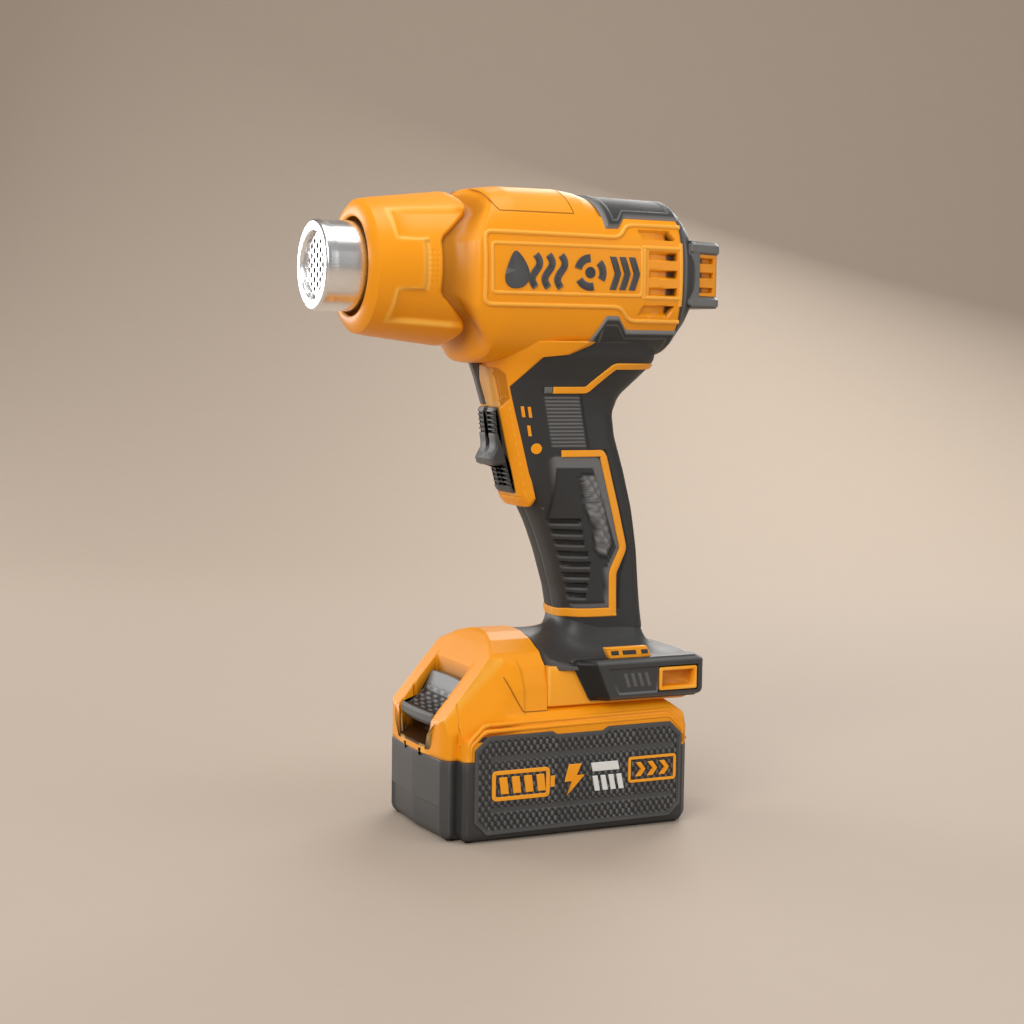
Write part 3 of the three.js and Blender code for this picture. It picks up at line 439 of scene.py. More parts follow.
def metal(name, colour, stain, rough=0.22, drawn=(40.0, 1400.0, 1400.0), bump=0.03):
    """Drawn or machined metal: fine lines along the drawing direction, faint heat stain, varied gloss."""
    material = bpy.data.materials.new(name)
    material.use_nodes = True
    tree = material.node_tree
    nodes, links = tree.nodes, tree.links
    nodes.clear()
    stain_frame = nodes.new("NodeFrame")
    stain_frame.label = "colour: metal and stain"
    lines_frame = nodes.new("NodeFrame")
    lines_frame.label = "surface: drawing lines"

    place = nodes.new("ShaderNodeTexCoord")
    place.label = "where on the part"
    stretch = nodes.new("ShaderNodeMapping")
    stretch.label = "lines run one way"
    stretch.parent = lines_frame
    lines = nodes.new("ShaderNodeTexNoise")
    lines.label = "drawing lines"
    lines.parent = lines_frame
    relief = nodes.new("ShaderNodeBump")
    relief.label = "lines felt on the surface"
    relief.parent = lines_frame
    gloss = nodes.new("ShaderNodeMapRange")
    gloss.label = "gloss along the lines"
    gloss.parent = lines_frame
    clouds = nodes.new("ShaderNodeTexNoise")
    clouds.label = "patches of stain"
    clouds.parent = stain_frame
    fade = nodes.new("ShaderNodeMapRange")
    fade.label = "how far the stain shows"
    fade.parent = stain_frame
    tint = nodes.new("ShaderNodeMix")
    tint.label = "metal and stain"
    tint.parent = stain_frame
    shader = nodes.new("ShaderNodeBsdfPrincipled")
    shader.label = "metal surface"
    out = nodes.new("ShaderNodeOutputMaterial")
    out.label = "finish"
    for k, node in enumerate((place, stretch, lines, relief, gloss, clouds, fade, tint, shader, out)):
        node.location = (-900 + 240 * (k % 5), 300 - 360 * (k // 5))

    stretch.inputs["Scale"].default_value = drawn
    lines.inputs["Scale"].default_value = 1.0
    lines.inputs["Detail"].default_value = 3.0
    relief.inputs["Strength"].default_value = bump
    relief.inputs["Distance"].default_value = 0.0003
    gloss.inputs["To Min"].default_value = rough - 0.06
    gloss.inputs["To Max"].default_value = rough + 0.08
    clouds.inputs["Scale"].default_value = 60.0
    clouds.inputs["Detail"].default_value = 5.0
    fade.inputs["From Min"].default_value = 0.45
    fade.inputs["From Max"].default_value = 0.75
    fade.inputs["To Max"].default_value = 0.5
    tint.data_type = "RGBA"
    tint.inputs["A"].default_value = (*colour, 1.0)
    tint.inputs["B"].default_value = (*stain, 1.0)
    shader.inputs["Metallic"].default_value = 1.0

    links.new(place.outputs["Object"], stretch.inputs["Vector"])
    links.new(stretch.outputs["Vector"], lines.inputs["Vector"])
    links.new(lines.outputs["Fac"], relief.inputs["Height"])
    links.new(lines.outputs["Fac"], gloss.inputs["Value"])
    links.new(relief.outputs["Normal"], shader.inputs["Normal"])
    links.new(gloss.outputs["Result"], shader.inputs["Roughness"])
    links.new(place.outputs["Object"], clouds.inputs["Vector"])
    links.new(clouds.outputs["Fac"], fade.inputs["Value"])
    links.new(fade.outputs["Result"], tint.inputs["Factor"])
    links.new(tint.outputs["Result"], shader.inputs["Base Color"])
    links.new(shader.outputs["BSDF"], out.inputs["Surface"])
    return material


def circuit_board(name):
    """Green board: copper tracks under the mask as a fine brick pattern, with a slightly uneven gloss."""
    material = bpy.data.materials.new(name)
    material.use_nodes = True
    tree = material.node_tree
    nodes, links = tree.nodes, tree.links
    nodes.clear()
    track_frame = nodes.new("NodeFrame")
    track_frame.label = "tracks under the mask"
    place = nodes.new("ShaderNodeTexCoord")
    place.label = "where on the board"
    tracks = nodes.new("ShaderNodeTexBrick")
    tracks.label = "copper tracks"
    tracks.parent = track_frame
    clouds = nodes.new("ShaderNodeTexNoise")
    clouds.label = "uneven mask"
    clouds.parent = track_frame
    tint = nodes.new("ShaderNodeMix")
    tint.label = "mask over tracks"
    tint.parent = track_frame
    relief = nodes.new("ShaderNodeBump")
    relief.label = "tracks stand up a little"
    shader = nodes.new("ShaderNodeBsdfPrincipled")
    shader.label = "board surface"
    out = nodes.new("ShaderNodeOutputMaterial")
    out.label = "finish"
    for k, node in enumerate((place, tracks, clouds, tint, relief, shader, out)):
        node.location = (-700 + 230 * k, 100)
    tracks.inputs["Scale"].default_value = 180.0
    tracks.inputs["Mortar Size"].default_value = 0.03
    tracks.inputs["Color1"].default_value = (0.01, 0.09, 0.03, 1.0)
    tracks.inputs["Color2"].default_value = (0.012, 0.11, 0.035, 1.0)
    tracks.inputs["Mortar"].default_value = (0.08, 0.2, 0.06, 1.0)
    clouds.inputs["Scale"].default_value = 70.0
    tint.data_type = "RGBA"
    tint.blend_type = "MULTIPLY"
    relief.inputs["Strength"].default_value = 0.15
    relief.inputs["Distance"].default_value = 0.0003
    shader.inputs["Roughness"].default_value = 0.35
    links.new(place.outputs["Object"], tracks.inputs["Vector"])
    links.new(place.outputs["Object"], clouds.inputs["Vector"])
    links.new(tracks.outputs["Color"], tint.inputs["A"])
    links.new(clouds.outputs["Color"], tint.inputs["B"])
    links.new(tint.outputs["Result"], shader.inputs["Base Color"])
    links.new(tracks.outputs["Fac"], relief.inputs["Height"])
    links.new(relief.outputs["Normal"], shader.inputs["Normal"])
    links.new(shader.outputs["BSDF"], out.inputs["Surface"])
    return material


def studio_floor(name, colour):
    """Pale backdrop paper: a very faint fibre in the colour and the bump."""
    material = bpy.data.materials.new(name)
    material.use_nodes = True
    tree = material.node_tree
    nodes, links = tree.nodes, tree.links
    nodes.clear()
    place = nodes.new("ShaderNodeTexCoord")
    place.label = "where on the floor"
    fibre = nodes.new("ShaderNodeTexNoise")
    fibre.label = "paper fibre"
    tint = nodes.new("ShaderNodeMix")
    tint.label = "pale paper"
    relief = nodes.new("ShaderNodeBump")
    relief.label = "fibre felt on the surface"
    shader = nodes.new("ShaderNodeBsdfPrincipled")
    shader.label = "paper"
    out = nodes.new("ShaderNodeOutputMaterial")
    out.label = "finish"
    for k, node in enumerate((place, fibre, tint, relief, shader, out)):
        node.location = (-600 + 230 * k, 100)
    fibre.inputs["Scale"].default_value = 60.0
    fibre.inputs["Detail"].default_value = 5.0
    tint.data_type = "RGBA"
    tint.inputs["A"].default_value = (*colour, 1.0)
    tint.inputs["B"].default_value = (*[c * 0.97 for c in colour], 1.0)
    relief.inputs["Strength"].default_value = 0.02
    relief.inputs["Distance"].default_value = 0.001
    shader.inputs["Roughness"].default_value = 0.75
    links.new(place.outputs["Object"], fibre.inputs["Vector"])
    links.new(fibre.outputs["Fac"], tint.inputs["Factor"])
    links.new(tint.outputs["Result"], shader.inputs["Base Color"])
    links.new(fibre.outputs["Fac"], relief.inputs["Height"])
    links.new(relief.outputs["Normal"], shader.inputs["Normal"])
    links.new(shader.outputs["BSDF"], out.inputs["Surface"])
    return material


def finish(name):
    """The finish of that name, made once from the colours in the panel."""
    known = bpy.data.materials.get(name)
    if known:
        return known
    colours = bpy.context.scene.heat_gun_colours
    orange = tuple(colours.shell)
    dark = tuple(colours.graphite)
    rubber = tuple(colours.rubber)
    # Painted highlight colour of the orange mouldings.
    highlight_orange = (1.0, 0.6, 0.12)
    # Each moulded finish takes its colour, the colour of its painted shade, the colour of its painted
    # highlight, then gloss, grain, bump, coat and cloudiness.
    makers = {
        "shell_orange": lambda: moulded(name, orange, (0.05, 0.016, 0.001), highlight_orange, 0.4, 1100.0, 0.05,
                                        0.05, 0.08),
        "mark_orange": lambda: moulded(name, orange, (0.3, 0.1, 0.005), highlight_orange, 0.4, 1400.0, 0.03, 0.0,
                                       0.05),
        # Dark orange for thin lines: on top of the block it is painted shade standing for the engraved
        # groove; on the pack it draws the fine parting lines.
        "seam_orange": lambda: moulded(name, tuple(c * 0.32 for c in orange), (0.05, 0.02, 0.0), orange, 0.5,
                                       900.0),
        "graphite": lambda: moulded(name, dark, (0.006, 0.006, 0.006), (0.24, 0.24, 0.24), 0.46, 1200.0,
                                    0.09, 0.05, 0.2),
        "rubber_skin": lambda: moulded(name, rubber, (0.005, 0.005, 0.005), (0.26, 0.26, 0.26), 0.5, 1500.0,
                                       0.12, 0.0, 0.2),
        "near_black": lambda: moulded(name, (0.012, 0.012, 0.012), (0.0, 0.0, 0.0), (0.12, 0.12, 0.12), 0.5,
                                      900.0, 0.08),
        "light_print": lambda: moulded(name, (0.78, 0.78, 0.76), (0.3, 0.3, 0.3), (0.9, 0.9, 0.9), 0.5,
                                       1400.0, 0.03),
        "dark_print": lambda: moulded(name, (0.05, 0.05, 0.053), (0.01, 0.01, 0.01), (0.3, 0.3, 0.3), 0.38,
                                      1300.0, 0.05,
                                      0.1, 0.45),
        "ceramic": lambda: moulded(name, (0.72, 0.66, 0.56), (0.3, 0.2, 0.1), (0.85, 0.8, 0.7), 0.8, 500.0,
                                   0.3),
        "wrap": lambda: moulded(name, (0.03, 0.13, 0.3), (0.0, 0.0, 0.0), (0.3, 0.45, 0.6), 0.3, 700.0,
                                0.04),
        "bright_steel": lambda: metal(name, (0.93, 0.93, 0.93), (0.8, 0.79, 0.77), 0.24),
        "plain_steel": lambda: metal(name, (0.42, 0.42, 0.43), (0.25, 0.2, 0.16), 0.38),
        "brass": lambda: metal(name, (0.72, 0.5, 0.2), (0.4, 0.25, 0.1), 0.28),
        "board": lambda: circuit_board(name),
    }
    return makers[name]()


# ---------------------------------------------------------------- shapes of the tool, in millimetres


BARREL_NOSE = [(88.4, 20.7), (89.4, 20.8), (89.9, 21.4), (90.0, 22.2), (89.75, 23.6), (89.2, 25.2),
               (88.4, 26.7), (87.2, 28.0)]
RECESS = [(80.9, 263.6), (41.0, 265.6), (41.0, 216.2), (80.6, 218.6), (79.2, 231.0), (66.0, 231.0),
          (66.0, 252.4),
          (79.4, 252.4)]
SLOT_ROWS = [(246.8, 249.8), (239.1, 241.9), (231.0, 234.2)]
SLOT_ENDS = (-48.3, -34.3)
SLANTED_SLOTS = [[(-29.6, 258.9), (-45.0, 258.9), (-47.6, 255.3), (-31.8, 255.3)],
                 [(-31.8, 226.6), (-47.6, 226.6), (-45.0, 222.6), (-29.6, 222.6)]]


def valley_edge(z):
    """x of the barrel's rear edge: a blunt zigzag that runs back between the arms and forward at the
    sides."""
    away = np.abs(z - AXIS_Z)
    return along(away, (0, 60.0), (11.0, 60.0), (13.5, 58.6), (23.5, 46.6), (25.5, 46.0), (27.5, 47.0),
                 (33.0, 50.5), (40, 51.0))


def block_edge(z):
    """x of the housing block's front edge, nearly parallel to the barrel's zigzag."""
    away = np.abs(z - AXIS_Z)
    return along(away, (0, 46.8), (13.5, 46.4), (20.0, 42.5), (25.5, 38.2), (29.0, 37.6), (34.0, 40.5),
                 (40, 42.0))


def barrel_radius(x):
    """Radius of the plain barrel cone behind its nose."""
    return along(x, (38.0, 33.0), (52.0, 32.5), (82.0, 28.9), (87.2, 28.0))


def block_section(x):
    """Half width, half height and middle height of the block's rounded section at x."""
    wide = 34.5 - 1.5 * eased(-30.0, -52.4, x) - 0.7 * eased(30.0, 46.0, x)
    top = along(x, (-53.0, 272.6), (-46.0, 273.1), (-12.0, 273.8), (-6.0, 275.6), (2.0, 276.7),
                (28.0, 276.6), (38.0, 275.3), (48.0, 271.0))
    low = along(x, (-53.0, 206.5), (-20.0, 203.2), (20.0, 201.5), (36.0, 201.3), (44.0, 203.2),
                (48.0, 206.0))
    return wide, (top - low) / 2.0, (top + low) / 2.0


def block_side(x, z):
    """y of the block's left side at (x, z), from |y/a|^n + |(z - c)/b|^n = 1."""
    wide, high, middle = block_section(x)
    rest = 1.0 - np.clip(np.abs((z - middle) / high), 0.0, 0.995) ** BLOCK_POWER
    return wide * rest ** (1.0 / BLOCK_POWER)


def slope_normals(points_at, x, z, step=0.2):
    """Outward normals of a side surface y = f(x, z), by differences."""
    along_x = (points_at(x + step, z) - points_at(x - step, z)) / (2 * step)
    along_z = (points_at(x, z + step) - points_at(x, z - step)) / (2 * step)
    normals = np.stack([-along_x, np.ones_like(x), -along_z], axis=-1)
    return normals / np.linalg.norm(normals, axis=-1, keepdims=True)


def side_ribbon(surface, path, half_width, height, closed=False, profile=ROUND_BEAD, lift=0.0, step=1.0,
                **tints):
    """A raised line along an (x, z) path on a side surface."""
    path = finer(path, step, closed)
    x, z = path[:, 0], path[:, 1]
    normals = slope_normals(surface, x, z)
    points = np.stack([x, surface(x, z), z], axis=1) + normals * lift
    return ribbon(points, normals, scaled(profile, half_width, height), closed, **tints)


def arc_places(count, power, wide, high):
    """Angles from the bottom (-90 degrees) to the top (90) spaced evenly along a rounded section."""
    dense = np.linspace(-np.pi / 2, np.pi / 2, 4001)
    y = wide * np.cos(dense).clip(0) ** (2 / power)
    z = high * squared(np.sin(dense), 2 / power)
    length = np.r_[0.0, np.cumsum(np.hypot(np.diff(y), np.diff(z)))]
    return np.interp(np.linspace(0.0, length[-1], count), length, dense)


def barrel_shell():
    """The barrel: a cone turned about the axis, its rear rim cut along the zigzag, its nose rolled to
    the mouth.

    On the cone the radius drops by 1.6 mm inside the arrow-shaped recesses and eases down behind the
    flat band."""
    rows, columns = 104, 320
    angle = np.linspace(0.0, 2 * np.pi, columns, endpoint=False)
    t = np.linspace(0.0, 1.0, rows)[:, None]
    rear = np.repeat(valley_edge(AXIS_Z + 31.0 * np.sin(angle))[None], rows, axis=0)
    x = rear + t * (87.2 - rear)
    radius = barrel_radius(x)
    z = AXIS_Z + radius * np.sin(angle)
    low = eased(0.9, -0.9, inside(x, z, RECESS))
    low = low * eased(79.0, 70.0, x) ** 0.35
    behind = eased(69.0, 66.2, x) * eased(11.4, 9.9, np.abs(z - AXIS_Z))
    dimples = np.zeros_like(x)
    for column in (62.2, 64.2, 66.0):
        across = np.abs((z - AXIS_Z + 30.0) % 2.2 - 1.1)
        dimples += (np.exp(-((x - column) / 0.45) ** 2 - (across / 0.5) ** 2)
                    * eased(8.0, 6.5, np.abs(z - AXIS_Z)))
    drop = 1.6 * np.maximum(low, behind) + 0.35 * dimples * eased(67.5, 66.5, x)
    rim = (1.0 - eased(0.0, 1.3, x - rear)) * 0.7
    radius = radius - drop - rim
    # Painted highlight on the chamfer where the flat band ends, and painted highlight lines along the
    # recesses' edges.
    pale = 0.5 * bell(x - 67.6, 1.3) * eased(11.2, 9.4, np.abs(z - AXIS_Z))
    edge = bell(inside(x, z, RECESS) - 0.3, 0.8) * 0.5 * eased(49.0, 54.0, x)
    nose = np.array(BARREL_NOSE)[::-1][1:]
    x = np.vstack([rear[:1] - 0.4, rear[:1], x[1:], np.repeat(nose[:, :1], columns, axis=1)])
    floor = barrel_radius(rear[:1])
    radius = np.vstack([floor - 4.8, floor - 2.6, radius[1:], np.repeat(nose[:, 1:], columns, axis=1)])
    blank = np.zeros((1, columns))
    pale = np.vstack([blank, blank, np.maximum(pale, edge)[1:], np.zeros((len(nose), columns))])
    points = np.stack([x, radius * np.cos(angle), AXIS_Z + radius * np.sin(angle)], axis=-1)
    return faced(sheet(points, wrap=True, pale=pale), (60.0, 0.0, AXIS_Z))


def block_shell():
    """Left half of the housing block: a rounded section carried along X, sunk into the zigzag valley in
    front.

    Slots are pressed in by 1.3 mm in front and 2.9 mm at the rear, and the skin is sunk under the rubber
    guards. The slots and the valley are painted darker, as painted shade."""
    rows, columns = 214, 168
    angle = arc_places(columns, BLOCK_POWER, 34.5, BLOCK_HIGH)
    t = np.linspace(0.0, 1.0, rows)[:, None]
    flat_angle = np.linspace(-np.pi / 2, np.pi / 2, columns)
    front = np.repeat(block_edge(AXIS_Z + 34.0 * np.sin(flat_angle))[None], rows, axis=0)
    x = -52.4 + t * (front + 52.4)
    wide, high, middle = block_section(x)
    y = wide * np.cos(angle).clip(0) ** (2 / BLOCK_POWER)
    z = middle + high * squared(np.sin(angle), 2 / BLOCK_POWER)
    deep = np.zeros_like(x)
    for low, top in SLOT_ROWS:
        row = eased(0.35, -0.35, np.maximum(low - z, z - top))
        deep = np.maximum(deep, row * eased(0.4, -0.2, np.maximum(SLOT_ENDS[0] - x, x - SLOT_ENDS[1])))
    for outline in SLANTED_SLOTS:
        deep = np.maximum(deep, eased(0.4, -0.4, inside(x, z, outline)))
    ramp = eased(-36.0, -46.5, x)
    sink = deep * (1.3 + 1.6 * ramp)
    # Painted shade in the slots, darkest at their deep rear ends.
    dark = deep * np.clip(0.12 + 1.1 * eased(-43.0, -45.4, x), 0.0, 1.0)
    chamfer = eased(-50.0, -52.4, x) * 1.6
    roll = (1.0 - eased(0.0, 2.2, front - x)) ** 2 * 0.9
    guard = eased(-11.0, -13.5, x) * (eased(263.5, 265.5, z) + eased(216.0, 214.0, z))
    scale = 1.0 - (sink + chamfer + roll + guard) / 36.0
    y, z = y * scale, middle + (z - middle) * scale
    edge = front[:1]
    seat = valley_edge(AXIS_Z + 31.0 * np.sin(flat_angle))[None]
    floor_radius = barrel_radius(seat) - 3.9
    levels = [(0.0, 0.0), (0.1, 0.1), (0.26, 0.42), (0.42, 0.8), (0.56, 0.96), (0.7, 1.0), (1.0, 1.0),
              (1.3, 1.02)]
    floor_y = floor_radius * np.cos(flat_angle)
    floor_z = AXIS_Z + floor_radius * np.sin(flat_angle)
    xs, ys, zs = [x], [y], [z]
    for reach, sunk in levels[1:]:
        xs.append(edge + reach * (seat - edge))
        ys.append(y[-1:] * (1 - sunk) + floor_y * sunk)
        zs.append(z[-1:] * (1 - sunk) + floor_z * sunk)
    points = np.stack([np.vstack(xs), np.vstack(ys), np.vstack(zs)], axis=-1)
    # Painted shade on the rows that run down into the valley in front.
    dark = np.vstack([dark] + [np.full((1, columns), shade) for shade in (0.1, 0.3, 0.42, 0.48, 0.5, 0.5,
            0.5)])
    return faced(sheet(points, deep=dark), (0.0, 0.0, BLOCK_Z))


INNER_FRAME = rounded([(40.0, 251.2), (39.7, 230.8), (-30.4, 230.9), (-30.4, 251.2)], 1.5)


def outer_frame():
    """The raised line round the block's side: from the rear, along the top, down the front and back
    below."""
    corners = [(-51.0, 261.0), (-24.1, 261.0), (-19.9, 255.4), (43.0, 255.9), (43.0, 225.9), (-20.5, 226.0),
               (-25.1, 220.2), (-51.0, 220.2)]
    return rounded(corners, 3.2, 6, closed=False)


def rear_bars():
    """Raised strips that join the frames at the rear: one upright and two lying along the slots."""
    return [[(-31.6, 251.0), (-31.6, 231.0)], [(-50.6, 254.0), (-50.6, 227.0)],
            [(-30.4, 251.6), (-51.0, 251.6)],
            [(-30.4, 230.2), (-51.0, 230.2)]]


def wave_mark(x0, z0, high):
    """A rising wave of warm air as a broken line."""
    t = np.linspace(0.0, 1.0, 17)
    return np.stack([x0 + 1.7 * np.sin(2 * np.pi * t), z0 + high * t], axis=1)


def flame_outline(x0, z0, high):
    """A flame: round below, drawn to a leaning point above."""
    t = np.linspace(0.0, 2 * np.pi, 28, endpoint=False)
    radius = high * 0.33
    width = radius * np.sin(t) * (1.0 + 0.45 * np.cos(t))
    up = high * 0.5 * (1 - np.cos(t))
    lean = 0.9 * np.sin(np.pi * up / high)
    return np.stack([x0 - width - lean, z0 + up], axis=1)


def decal(surface, outline, lift, thick=0.5, **tints):
    """A flat mark with that (x, z) outline laid on a side surface: rim rings below and above, closed by
    fans."""
    rings = []
    outline = finer(outline, 1.5, closed=True)
    for out, inset in ((-0.2, 0.0), (thick * 0.6, 0.0), (thick, 0.18)):
        ring = inset_outline(outline, inset)
        normals = slope_normals(surface, ring[:, 0], ring[:, 1])
        rings.append(np.stack([ring[:, 0], surface(ring[:, 0], ring[:, 1]), ring[:, 1]], axis=1)
                     + normals * (out + lift))
    return volume_out(sheet(np.array(rings), wrap=True, lids=(True, True), **tints))


def side_marks():
    """Pictograms on the panel: a flame, three waves of warm air, a fan of arcs and an arrow of blown air."""
    marks = [decal(block_side, flame_outline(29.6, 232.6, 15.6), 0.05)]
    for k in range(3):
        marks.append(side_ribbon(block_side, wave_mark(20.4 - 5.9 * k, 233.4, 13.6), 1.55, 0.5,
                                 profile=FLAT_STRIP))
    for turn in (0.0, 2.0944, 4.1888):
        t = np.linspace(0.25, 1.55, 12) + turn
        arc = np.stack([-5.2 + 6.0 * np.cos(t), 240.2 + 6.0 * np.sin(t)], axis=1)
        marks.append(side_ribbon(block_side, arc, 1.7, 0.5, profile=FLAT_STRIP, step=0.7))
    dot = np.linspace(0.0, 2 * np.pi, 20, endpoint=False)
    marks.append(decal(block_side, np.stack([-5.2 + 2.4 * np.cos(dot), 240.2 + 2.4 * np.sin(dot)], axis=1),
                       0.05))
    for k in range(3):
        x = -14.6 - 4.6 * k
        marks.append(decal(block_side, [(x, 247.2), (x - 3.0, 247.2), (x - 5.4, 240.2), (x - 3.0, 233.2),
                                        (x, 233.2),
                                        (x - 2.4, 240.2)], 0.05))
    return marks


def top_panel_lines():
    """Engraved line round the panel on top of the block."""
    t = np.linspace(0.0, 1.0, 12)
    front = np.stack([34.7 + 4.8 * t ** 0.7, 264.9 + 10.0 * t], axis=1)
    rear = np.stack([0.5 + 1.7 * t, 264.9 + 10.2 * t], axis=1)
    return [np.vstack([front[::-1], [(30.0, 264.9), (20.0, 264.9), (10.0, 264.9)], rear])]


def guard_edge(x, upper):
    """Height of a rubber guard's long edge on the block's side at x, with its notch."""
    if upper:
        return along(x, (-53.0, 263.8), (-23.7, 263.8), (-19.9, 259.2), (-13.6, 259.0), (-12.0, 260.0))
    return along(x, (-53.0, 216.4), (-24.8, 216.4), (-20.0, 222.2), (-14.3, 222.2), (-8.0, 210.5),
                 (-6.0, 209.4))


def guard_patch(upper):
    """A rubber guard: the block's skin from its notched edge to the middle line, standing 1 mm proud.

    The last 1.6 mm falls away to the skin as a chamfer painted paler as a highlight, and a painted highlight
    line follows the notch along an inner facet."""
    rows, columns = 120, 54
    u = np.linspace(0.0, 1.0, rows)[:, None]
    v = np.linspace(0.0, 1.0, columns)[None, :] ** 1.15
    if upper:
        front = -12.2 - 1.4 * (1 - v) + 1.2 * v
        x = -51.6 + u * (front + 51.6)
        edge = guard_edge(x, True)
        wide, high, middle = block_section(x)
        start = np.arcsin(np.clip((edge - middle) / high, -0.999, 0.999) ** (BLOCK_POWER / 2))
        angle = start + v * (np.pi / 2 - start)
    else:
        x = -51.6 + u * (-8.6 + 51.6) + 0.0 * v
        edge = guard_edge(x, False)
        wide, high, middle = block_section(x)
        start = np.arcsin(np.clip((middle - edge) / high, 0.0, 0.999) ** (BLOCK_POWER / 2))
        angle = -(start + v * (0.97 * np.pi / 2 - start))
    y = wide * np.cos(angle).clip(0) ** (2 / BLOCK_POWER)
    z = middle + high * squared(np.sin(angle), 2 / BLOCK_POWER)
    away = np.abs(z - edge) + 0.5 * np.abs(y - y[:, :1])
    ends = np.minimum(x - x[:1], x[-1:] - x)
    near = np.minimum(away, ends * 0.9)
    lift = 1.15 * eased(0.0, 1.5, near)
    facet = 0.35 * eased(3.6, 4.6, near)
    scale = 1.0 + (lift - facet) / 37.0
    # Painted highlight on the chamfer and along the inner facet.
    pale = np.clip(1.5 * (1.0 - near / 1.9), 0.0, 1.0) * 0.75 + 0.35 * bell(near - 4.0, 0.5)
    points = np.stack([x, y * scale, middle + (z - middle) * scale], axis=-1)
    return faced(sheet(points, pale=pale), (-30.0, 0.0, 240.0))


def cap_shell():
    """The rear cap: a rounded section that steps in and closes behind the block."""
    rows = [(-50.0, 32.3, 206.5, 272.4), (-52.2, 33.0, 207.0, 272.6), (-53.6, 33.0, 208.6, 271.6),
            (-56.8, 31.6, 213.0, 267.6),
            (-58.8, 30.6, 217.4, 263.6), (-61.0, 28.8, 222.6, 259.0), (-62.4, 25.0, 226.0, 256.0),
            (-62.9, 19.0, 229.0, 253.0),
            (-63.0, 8.0, 236.0, 246.0)]
    fine = finer(np.array(rows), 0.8)
    angle = np.linspace(0.0, 2 * np.pi, 180, endpoint=False)
    wide, low, top = fine[:, 1:2], fine[:, 2:3], fine[:, 3:4]
    y = wide * squared(np.cos(angle), 2 / 2.6)
    z = (top + low) / 2 + (top - low) / 2 * squared(np.sin(angle), 2 / 2.6)
    x = np.repeat(fine[:, :1], 180, axis=1)
    # Painted highlight lines at the cap's two steps.
    pale = 0.4 * bell(x + 53.0, 0.7) + 0.3 * bell(x + 58.6, 0.6)
    points = np.stack([x, y, z], axis=-1)
    return volume_out(sheet(points, wrap=True, lids=(True, True), pale=pale))


TAIL_PLAN = [(-56.0, 32.2), (-59.6, 30.2), (-73.6, 25.2), (-76.9, 21.2), (-78.0, 14.5)]


def tail_outline():
    """Plan of the tail bracket, both sides, closed across the front."""
    side = np.array(TAIL_PLAN)
    return np.vstack([side, (side * np.array([1.0, -1.0]))[::-1]])


def tail_bars():
    """The two bars of the tail: its plan carried upwards, edges taken off by 1.1 mm, faces painted paler as
    painted light, the sides most and the tops less.
    """
    bars = []
    for low, top in ((249.9, 255.6), (226.6, 232.0)):
        levels = [(low, 1.0), (low + 1.1, 0.0), (top - 1.6, 0.0), (top, 1.6)]
        bar = slab(rounded(tail_outline(), 1.2), levels, axis="z")
        heights = bar["points"][:, 2]
        # Painted light: sides painted palest, tops less, the underside not at all.
        bar["tints"]["pale"] = np.where(heights > top - 0.1, 0.25, 0.55) * (heights > low + 0.5)
        bars.append(bar)
    post = slab([(-55.0, 31.6), (-60.2, 29.8), (-62.4, 28.8), (-62.4, -28.8), (-60.2, -29.8),
                 (-55.0, -31.6)],
                [(228.0, 0.0), (254.0, 0.0)], axis="z")
    post["tints"]["pale"] = np.full(len(post["points"]), 0.3)
    return bars + [post]


def tail_grille():
    """The orange insert between the tail's bars: its plan carried upwards, pressed in along three slots."""
    side = np.array([(-61.0, 29.4), (-73.2, 24.9), (-76.3, 20.8), (-77.3, 14.5), (-77.3, 0.0)])
    side = side + np.array([0.0, -0.7])
    side[-1, 1] = 0.0
    ring = finer(np.vstack([side, (side[:-1] * np.array([1.0, -1.0]))[::-1]]), 0.6)
    heights = np.linspace(231.8, 250.1, 62)
    x = np.repeat(ring[None, :, 0], 62, axis=0)
    y = np.repeat(ring[None, :, 1], 62, axis=0)
    z = np.repeat(heights[:, None], len(ring), axis=1)
    deep = np.zeros_like(x)
    for middle in (247.2, 240.9, 234.4):
        deep = np.maximum(deep, eased(1.25, 0.85, np.abs(z - middle)))
    side_slot = eased(5.0, 4.4, np.abs(x + 66.8))
    rear_slot = eased(-76.0, -77.0, x) * eased(11.5, 10.5, np.abs(y))
    deep = deep * np.maximum(side_slot, rear_slot)
    # Painted shade in the slots, deepening towards their ends.
    dark = deep * np.where(side_slot > rear_slot, 0.35 + 0.65 * eased(-66.0, -64.6, x), 1.0)
    points = np.stack([x + 1.5 * deep * rear_slot, y - np.sign(y) * 1.8 * deep * side_slot, z], axis=-1)
    return faced(sheet(points, deep=dark), (-60.0, 0.0, 241.0))


def nozzle_shell():
    """The steel nozzle: a tube turned about the axis, rolled over at its outlet and running back into
    the barrel."""
    lip = [(64.0, 17.6), (64.0, 18.8), (101.5, 18.85), (103.2, 18.95), (104.8, 19.0), (106.0, 18.75),
           (106.7, 18.1), (106.98, 17.0),
           (106.9, 15.4), (106.5, 14.3), (105.6, 13.7), (103.4, 13.5), (103.4, 13.2), (101.0, 13.2),
           (101.0, 17.6)]
    return turned(finer(np.array(lip), 1.2), count=128, lids=(False, False))


